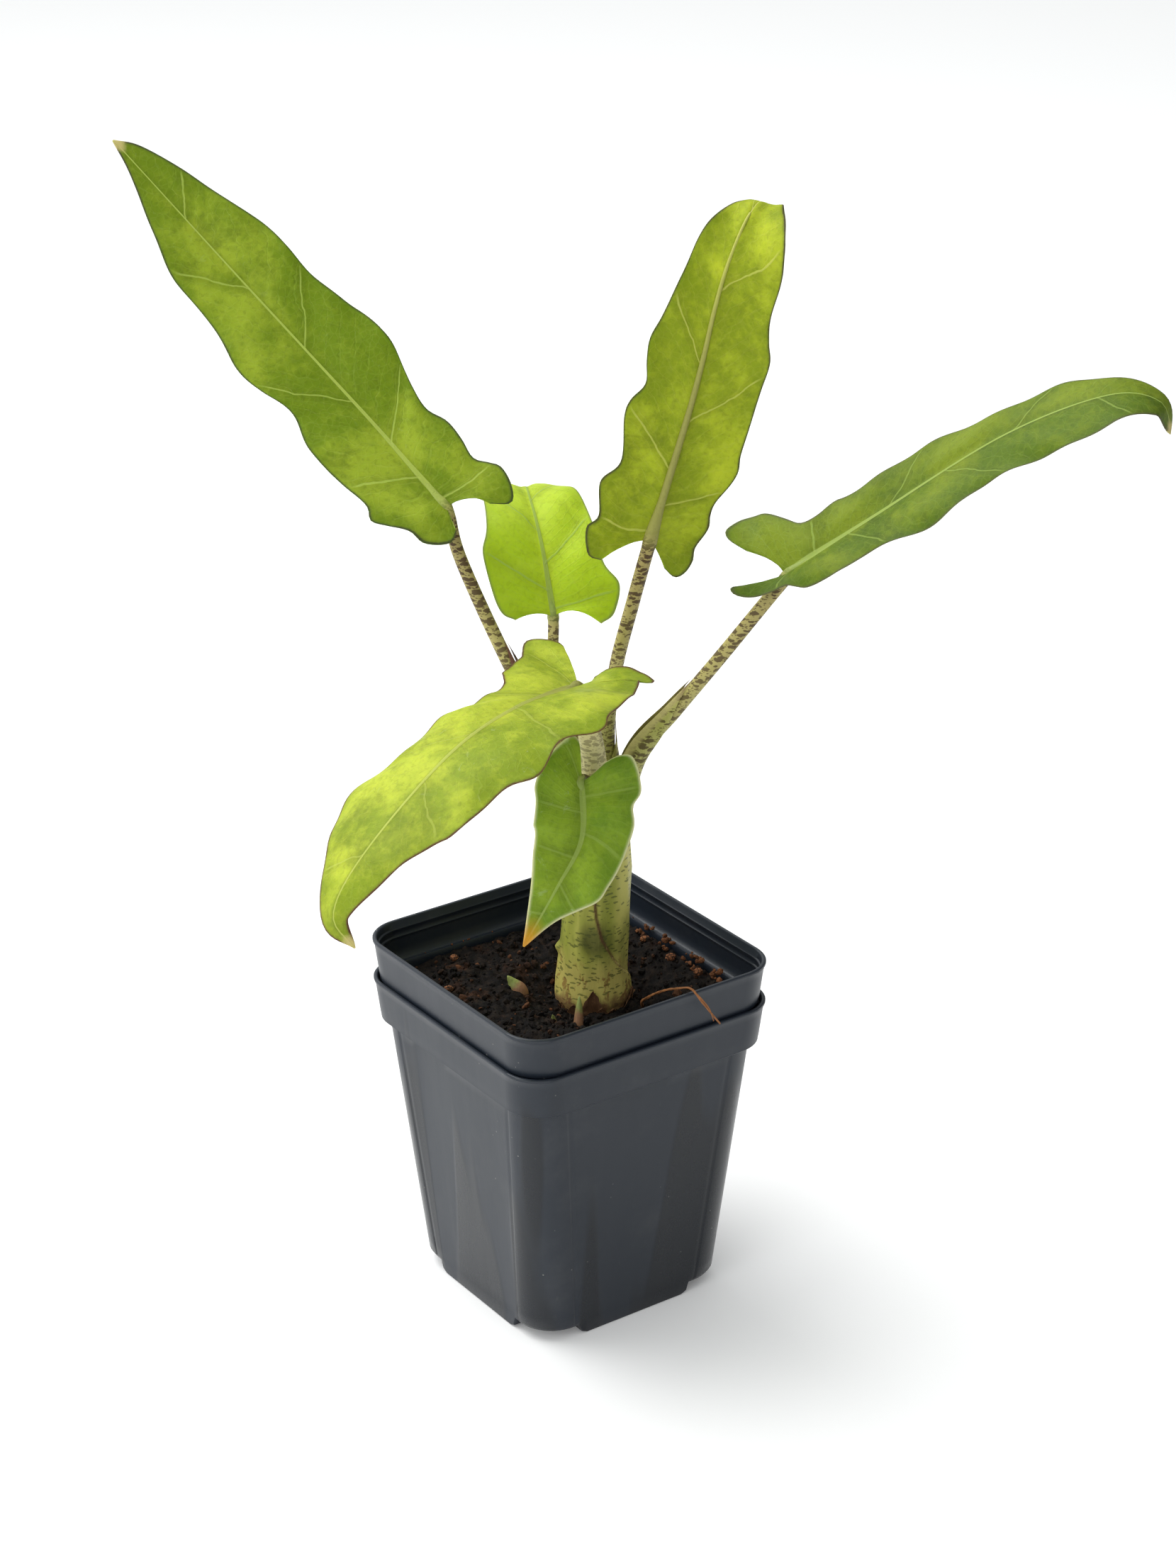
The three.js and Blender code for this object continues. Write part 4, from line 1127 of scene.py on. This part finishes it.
def crumb_pieces(mix):
    """Loose crumbs over the mix and a line of drier ones along the ledge at the back."""
    rng = random.Random(11)
    relief = mix.relief / MM
    bpy.ops.object.select_all(action="DESELECT")
    bpy.ops.mesh.primitive_ico_sphere_add(subdivisions=1, radius=1)
    pattern = bpy.context.object
    shape = [v.co.copy() for v in pattern.data.vertices]
    sides = [tuple(p.vertices) for p in pattern.data.polygons]
    points, faces, tones = [], [], []

    def crumb(centre, size, tone):
        turn = Euler([rng.uniform(0, 6.3) for _ in range(3)]).to_matrix()
        squash = Vector([rng.uniform(0.6, 1.25) for _ in range(3)])
        first = len(points)
        for corner in shape:
            lumpy = corner * rng.uniform(0.72, 1.2)
            points.append((centre + turn @ (lumpy * squash) * size) * MM)
            tones.append(tone)
        faces.extend(tuple(first + i for i in side) for side in sides)

    while len(faces) < mix.crumbs * len(sides):
        x, y = rng.uniform(-CRUMB_HALF, CRUMB_HALF), rng.uniform(-CRUMB_HALF, CRUMB_HALF)
        straight = CRUMB_HALF - CRUMB_CORNER
        if math.hypot(max(abs(x) - straight, 0), max(abs(y) - straight, 0)) > CRUMB_CORNER:
            continue
        axis = stem_axis(103)
        if math.hypot(x - axis.x, y - axis.y) < 12:
            continue
        size = min(0.35 + rng.expovariate(3), 1.6)
        tone = rng.random() ** 12 * 0.6
        crumb(Vector((x, y, mix_height(x, y, relief) + size * 0.25)), size, tone)
    for _ in range(60):
        y = rng.choice((-23, -13, -8, 5, 17)) + rng.gauss(0, 1.4)
        x = rng.uniform(42.2, 45.6)
        size = rng.uniform(0.4, 1.2)
        level = mix_height(x, y, relief) if x < 43.4 else NEST_RISE + SHOULDER + 1.2
        crumb(Vector((x, y, level + rng.uniform(0.2, 1.4))), size, rng.uniform(0.4, 1))
    for _ in range(26):
        side, along = rng.choice((1, -1)), rng.uniform(-34, 34)
        spot = (along, side * 45.8) if rng.random() < 0.5 else (side * 45.8, along)
        crumb(Vector((*spot, NEST_RISE + SHOULDER + 1.4)), rng.uniform(0.2, 0.5), rng.uniform(0.1, 0.9))
    mesh = pattern.data
    mesh.clear_geometry()
    mesh.from_pydata(points, [], faces)
    layer = mesh.attributes.new("tone", "FLOAT", "POINT")
    for item, tone in zip(layer.data, tones):
        item.value = tone
    pattern.name = "mix_crumbs"
    return pattern


def chip_piece(name, node):
    """A broken chip of bark that fills the place of a CAD chip."""
    low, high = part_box(node)
    centre, size = (low + high) / 2, (high - low) / 2
    bpy.ops.object.select_all(action="DESELECT")
    bpy.ops.mesh.primitive_ico_sphere_add(subdivisions=4, radius=1)
    piece = bpy.context.object
    piece.name = name
    for vertex in piece.data.vertices:
        p = vertex.co.copy()
        shift = centre * 900
        broken = 1 - 0.28 * abs(noise.noise(p * 1.3 + shift)) - 0.16 * abs(noise.noise(p * 3.4 + shift))
        edge = max(abs(p.x), abs(p.y), abs(p.z))
        p = p * (broken * (0.72 + 0.28 * 0.6 / max(edge, 0.6)))
        vertex.co = centre + Vector((p.x * size.x, p.y * size.y, p.z * size.z))
    return weld(piece)


def stem_piece(plant):
    """The pseudostem: rolled leaf bases with one margin crossing its front, over a wider foot."""
    height = STEM_TOP.z - STEM_FOOT.z
    edges = []

    def crossing(level):
        """Where the outer leaf base's margin is at a height, as an angle round the stem."""
        z = STEM_FOOT.z + level
        return math.radians(between([(80, -30), (106, -38), (109, -48), (112, -70), (117, -92), (125, -116),
                                     (133, -128), (150, -140), (175, -150)], z))

    def place(u, v):
        level = height * v * 1.02
        angle = 2 * math.pi * u
        radius = between([(0, 0), (0.5, 3), *STEM_PROFILE[1:], (height * 1.02, 0)], level)
        behind = (angle - crossing(level)) % (2 * math.pi)
        radius += 0.8 * (behind / (2 * math.pi)) - 0.3 if level > 20 else 0
        radius += 0.35 * noise.noise(Vector((math.cos(angle), math.sin(angle), level / 22)) * 1.3)
        radius += 0.14 * math.sin(11 * angle + level / 9)
        aside = abs(angle - math.radians(145)) * 12
        radius += 1.5 * math.exp(-((level - 37.5) / 1.6) ** 2 - (aside / 2.2) ** 2)
        radius += 0.9 * math.exp(-((level - 29) / 7) ** 2 - (aside / 6) ** 2)
        radius = max(radius, 0) if v not in (0, 1) else 0
        nearness = min(behind, 2 * math.pi - behind) * max(radius, 1)
        edges.append((1 - smoothstep(nearness, 0.25, 0.75)) if 24 < level < 70 else 0)
        axis = stem_axis(STEM_FOOT.z + level)
        return Vector((axis.x + radius * math.cos(angle), axis.y + radius * math.sin(angle), axis.z))

    piece = sheet("pseudostem_skin", 180, 110, place)
    layer = piece.data.attributes.new("sheath_edge", "FLOAT", "POINT")
    for item, edge in zip(layer.data, edges):
        item.value = edge
    return weld(piece)


def scale_piece(name, facing, width, height, lean, foot=97.7, seed=0):
    """A dry torn scale that stands against the pseudostem's foot."""

    def place(side, v, lift):
        level = foot + height * v * (1 + 0.12 * noise.noise(Vector((side * 3, seed, 1))))
        axis = stem_axis(level)
        across = side * width / 2 * (1 - v ** 1.3) ** 0.9
        across += 0.35 * noise.noise(Vector((v * 6, seed, side * 2)))
        radius = between(STEM_PROFILE, level - STEM_FOOT.z) + 0.5 + lean * v * v + lift
        radius += 0.35 * noise.noise(Vector((side * 2, v * 3, seed))) + 0.5 * abs(side) ** 2
        angle = math.radians(facing) + across / radius
        return Vector((axis.x + radius * math.cos(angle), axis.y + radius * math.sin(angle), level))

    def thickness(side, v):
        return 0.35 * (1 - abs(side) ** 8) ** 0.5 * min(1, v * 20) ** 0.5 * min(1, (1 - v) * 20) ** 0.5

    return shell(name, 6, 20, place, thickness)


def shoot_piece(name, foot, tip, radius, bulge):
    """A young shoot: a pointed bud that swells above its foot."""
    foot, tip = Vector(foot), Vector(tip)
    aside = (tip - foot).orthogonal().normalized()
    path = Path([foot - Vector((0, 0, 2)), foot, foot.lerp(tip, 0.5) + aside * 0.3, tip])

    def girth(t, angle):
        form = (1 - t ** 2.2) ** 0.75 * (1 + bulge * math.sin(math.pi * min(t * 1.3, 1)))
        fold = 1 + 0.1 * ((angle / (2 * math.pi) + t * 0.35) % 1)
        return radius * 0.8 * form * fold

    return tube(name, path, 0, path.length, girth, 20, 36, {"along": lambda t: t})


# ---- operators ----------------------------------------------------------------------------------


class ALOCASIA_OT_pots(bpy.types.Operator):
    """Model both nursery pots, one nested in the other"""

    bl_idname = "alocasia.pots"
    bl_label = "Nursery Pots"

    def execute(self, context):
        pots = context.scene.alocasia_pots
        finish = plastic_finish(pots)
        outer = pot_piece("outer_pot_shell", pots)
        alone(outer)
        bpy.ops.object.duplicate(linked=False)
        inner = context.object
        inner.name = "inner_pot_shell"
        bpy.ops.transform.translate(value=(0, 0, NEST_RISE * MM))
        bpy.ops.object.transform_apply(location=True, rotation=False, scale=False)
        place_piece(outer, finish, "pot_plastic", "outer_pot")
        place_piece(inner, finish, "pot_plastic", "inner_pot")
        return {"FINISHED"}


class ALOCASIA_OT_potting_mix(bpy.types.Operator):
    """Model the potting mix, its loose crumbs and the bark chips on it"""

    bl_idname = "alocasia.potting_mix"
    bl_label = "Potting Mix"

    def execute(self, context):
        mix = context.scene.alocasia_mix
        finish = mix_finish(mix)
        place_piece(mix_piece(mix), finish, "potting_mix", "potting_mix")
        place_piece(crumb_pieces(mix), finish, "potting_mix")
        bark = bark_finish(mix)
        for number in range(1, 7):
            node = f"bark_chip_{number}"
            place_piece(chip_piece(f"bark_lump_{number}", node), bark, "bark", node)
        return {"FINISHED"}


class ALOCASIA_OT_pseudostem(bpy.types.Operator):
    """Model the pseudostem and the dry scales round its foot"""

    bl_idname = "alocasia.pseudostem"
    bl_label = "Pseudostem"

    def execute(self, context):
        plant = context.scene.alocasia_plant
        place_piece(stem_piece(plant), stem_finish(plant), "stem", "pseudostem")
        paper = paper_finish(plant)
        front = scale_piece("dry_scale_front", -125, 9, 9.5, 0.9, 98, 1)
        place_piece(front, paper, "dry_scale", "papery_scale_front")
        side = scale_piece("dry_scale_side", -50, 9, 6, 0.8, 98, 2)
        place_piece(side, paper, "dry_scale", "papery_scale_side")
        rng = random.Random(4)
        shreds = []
        for facing in range(-170, 180, 27):
            shreds.append(scale_piece(f"shred_{facing}", facing + rng.uniform(-9, 9), rng.uniform(5, 9),
                                      rng.uniform(2.5, 5), rng.uniform(0.2, 1.2), 97.3, facing))
        place_piece(joined("dry_sheath_fringe", shreds), paper, "dry_scale")
        return {"FINISHED"}


class ALOCASIA_OT_leaf_stalks(bpy.types.Operator):
    """Model the six leaf stalks, each running on under its blade as the midrib, and their sheaths"""

    bl_idname = "alocasia.leaf_stalks"
    bl_label = "Leaf Stalks"

    def execute(self, context):
        plant = context.scene.alocasia_plant
        for name, shape in LEAVES.items():
            leaf = Leaf(shape)
            path = stalk_path(leaf)
            before_blade = len(shape["stalk"]) + 2
            joint = path.marks[before_blade * path.steps]
            piece = stalk_piece(name, leaf, path, joint)
            place_piece(piece, stalk_finish(name, plant, shape), "stalk", "stalk_" + name)
            place_piece(sheath_piece(name, leaf, path), sheath_finish(name, plant), "stalk")
        return {"FINISHED"}


class ALOCASIA_OT_leaf_blades(bpy.types.Operator):
    """Model the six leaf blades"""

    bl_idname = "alocasia.leaf_blades"
    bl_label = "Leaf Blades"

    def execute(self, context):
        plant = context.scene.alocasia_plant
        for seed, (name, shape) in enumerate(LEAVES.items()):
            piece = blade_piece(name, Leaf(shape), plant, seed + 1)
            place_piece(piece, blade_finish(name, shape, plant.veins), "leaf", "blade_" + name)
        return {"FINISHED"}


class ALOCASIA_OT_shoots(bpy.types.Operator):
    """Model the young offsets and the stub of an old stalk"""

    bl_idname = "alocasia.shoots"
    bl_label = "Offsets and Stub"

    def execute(self, context):
        finish = shoot_finish(context.scene.alocasia_plant)
        for node, foot, tip, radius, bulge in SHOOTS:
            piece = shoot_piece(node + "_bud", foot, tip, radius, bulge)
            place_piece(piece, finish, "stem", node)
        return {"FINISHED"}


class ALOCASIA_OT_dry_root(bpy.types.Operator):
    """Model the dry root that hangs over the rim"""

    bl_idname = "alocasia.dry_root"
    bl_label = "Dry Root"

    def execute(self, context):
        path = Path(ROOT_LINE)

        def girth(t, angle):
            knot = noise.noise(Vector((t * 22, 0, 2)))
            return (0.5 - 0.22 * t) * (1 + 0.35 * knot) + 0.05 * math.sin(3 * angle + 40 * t)

        root = tube("hanging_root", path, 0, path.length, girth, 10, 160)
        fork = Path(STRAND_LINE)
        strand = tube("root_strand", fork, 0, fork.length, lambda t, angle: 0.26 - 0.12 * t, 8, 50)
        place_piece(joined("hanging_root", [root, strand]), root_finish(), "dry_root", "dry_root")
        return {"FINISHED"}


class ALOCASIA_OT_stage(bpy.types.Operator):
    """Add the floor, the soft light and the camera"""

    bl_idname = "alocasia.stage"
    bl_label = "Floor, Light and Camera"

    def execute(self, context):
        stage = context.scene.alocasia_stage
        bpy.ops.object.select_all(action="DESELECT")
        bpy.ops.mesh.primitive_circle_add(vertices=96, radius=7, fill_type="NGON")
        floor = context.object
        floor.name = "studio_floor"
        paper = Finish("floor_paper", base_color=tuple(stage.floor), roughness=0.9, emission_strength=0.1)
        paper.paint(emission_color=(1, 1, 1))
        floor.data.materials.append(paper.material)

        world = bpy.data.worlds.new("studio")
        world.use_nodes = True
        shade = Sums(world.node_tree)
        facing = shade.node("VectorMath", {"operation": "DOT_PRODUCT"},
                            {0: shade.node("TexCoord", output="Generated"), 1: BRIGHT_SIDE}, "Value")
        back = world.node_tree.nodes["Background"]
        join(shade.tree, back.inputs["Color"], (0.98, 1.0, 1.0))
        brightness = shade.step(facing, -0.9, 0.7) * (stage.sky * (1 - DIM_SKY)) + stage.sky * DIM_SKY
        join(shade.tree, back.inputs["Strength"], brightness)
        context.scene.world = world

        middle = Vector((0, 0, 0.15))
        for name, place, size, power in (
            ("back_window", (-0.45, 0.8, 1.6), 1.7, stage.key),
            ("left_window", (-1.6, -0.5, 0.9), 1.2, stage.key * LEFT_SHARE),
        ):
            bpy.ops.object.light_add(type="AREA", location=place)
            light = context.object
            light.name = name
            light.data.shape = "DISK"
            light.data.size = size
            light.data.energy = power
            light.rotation_euler = (middle - light.location).to_track_quat("-Z", "Y").to_euler()

        bpy.ops.object.camera_add(location=Vector(CAMERA_PLACE) * MM)
        camera = context.object
        target = Vector(CAMERA_TARGET) * MM
        turn = (target - camera.location).to_track_quat("-Z", "Y").to_matrix()
        roll = Euler((0, 0, math.radians(CAMERA_ROLL))).to_matrix()
        camera.rotation_euler = (turn @ roll).to_euler()
        camera.data.sensor_fit = "VERTICAL"
        camera.data.sensor_height = 36
        camera.data.lens = CAMERA_LENS
        camera.data.clip_end = 50
        context.scene.camera = camera
        context.scene.view_settings.view_transform = "Standard"
        return {"FINISHED"}


class ALOCASIA_PT_panel(bpy.types.Panel):
    """Lists the steps that build the plant"""

    bl_label = "Potted Alocasia"
    bl_idname = "ALOCASIA_PT_panel"
    bl_space_type = "VIEW_3D"
    bl_region_type = "UI"
    bl_category = "Alocasia"

    def draw(self, context):
        for step in OPERATORS:
            self.layout.operator(step.bl_idname)
        for group in (context.scene.alocasia_pots, context.scene.alocasia_mix,
                      context.scene.alocasia_plant, context.scene.alocasia_stage):
            box = self.layout.box()
            for key in group.__annotations__:
                box.prop(group, key)


SETTINGS = {
    "alocasia_pots": PotSettings,
    "alocasia_mix": MixSettings,
    "alocasia_plant": PlantSettings,
    "alocasia_stage": StageSettings,
}
OPERATORS = (
    ALOCASIA_OT_pots,
    ALOCASIA_OT_potting_mix,
    ALOCASIA_OT_pseudostem,
    ALOCASIA_OT_leaf_stalks,
    ALOCASIA_OT_leaf_blades,
    ALOCASIA_OT_shoots,
    ALOCASIA_OT_dry_root,
    ALOCASIA_OT_stage,
)


def register():
    for item in (*SETTINGS.values(), *OPERATORS, ALOCASIA_PT_panel):
        bpy.utils.register_class(item)
    for key, group in SETTINGS.items():
        setattr(bpy.types.Scene, key, PointerProperty(type=group))


def unregister():
    for key in SETTINGS:
        delattr(bpy.types.Scene, key)
    for item in reversed((*SETTINGS.values(), *OPERATORS, ALOCASIA_PT_panel)):
        bpy.utils.unregister_class(item)


def main():
    register()
    bpy.ops.alocasia.pots()
    bpy.ops.alocasia.potting_mix()
    bpy.ops.alocasia.pseudostem()
    bpy.ops.alocasia.leaf_stalks()
    bpy.ops.alocasia.leaf_blades()
    bpy.ops.alocasia.shoots()
    bpy.ops.alocasia.dry_root()
    bpy.ops.alocasia.stage()


if __name__ == "__main__":
    main()
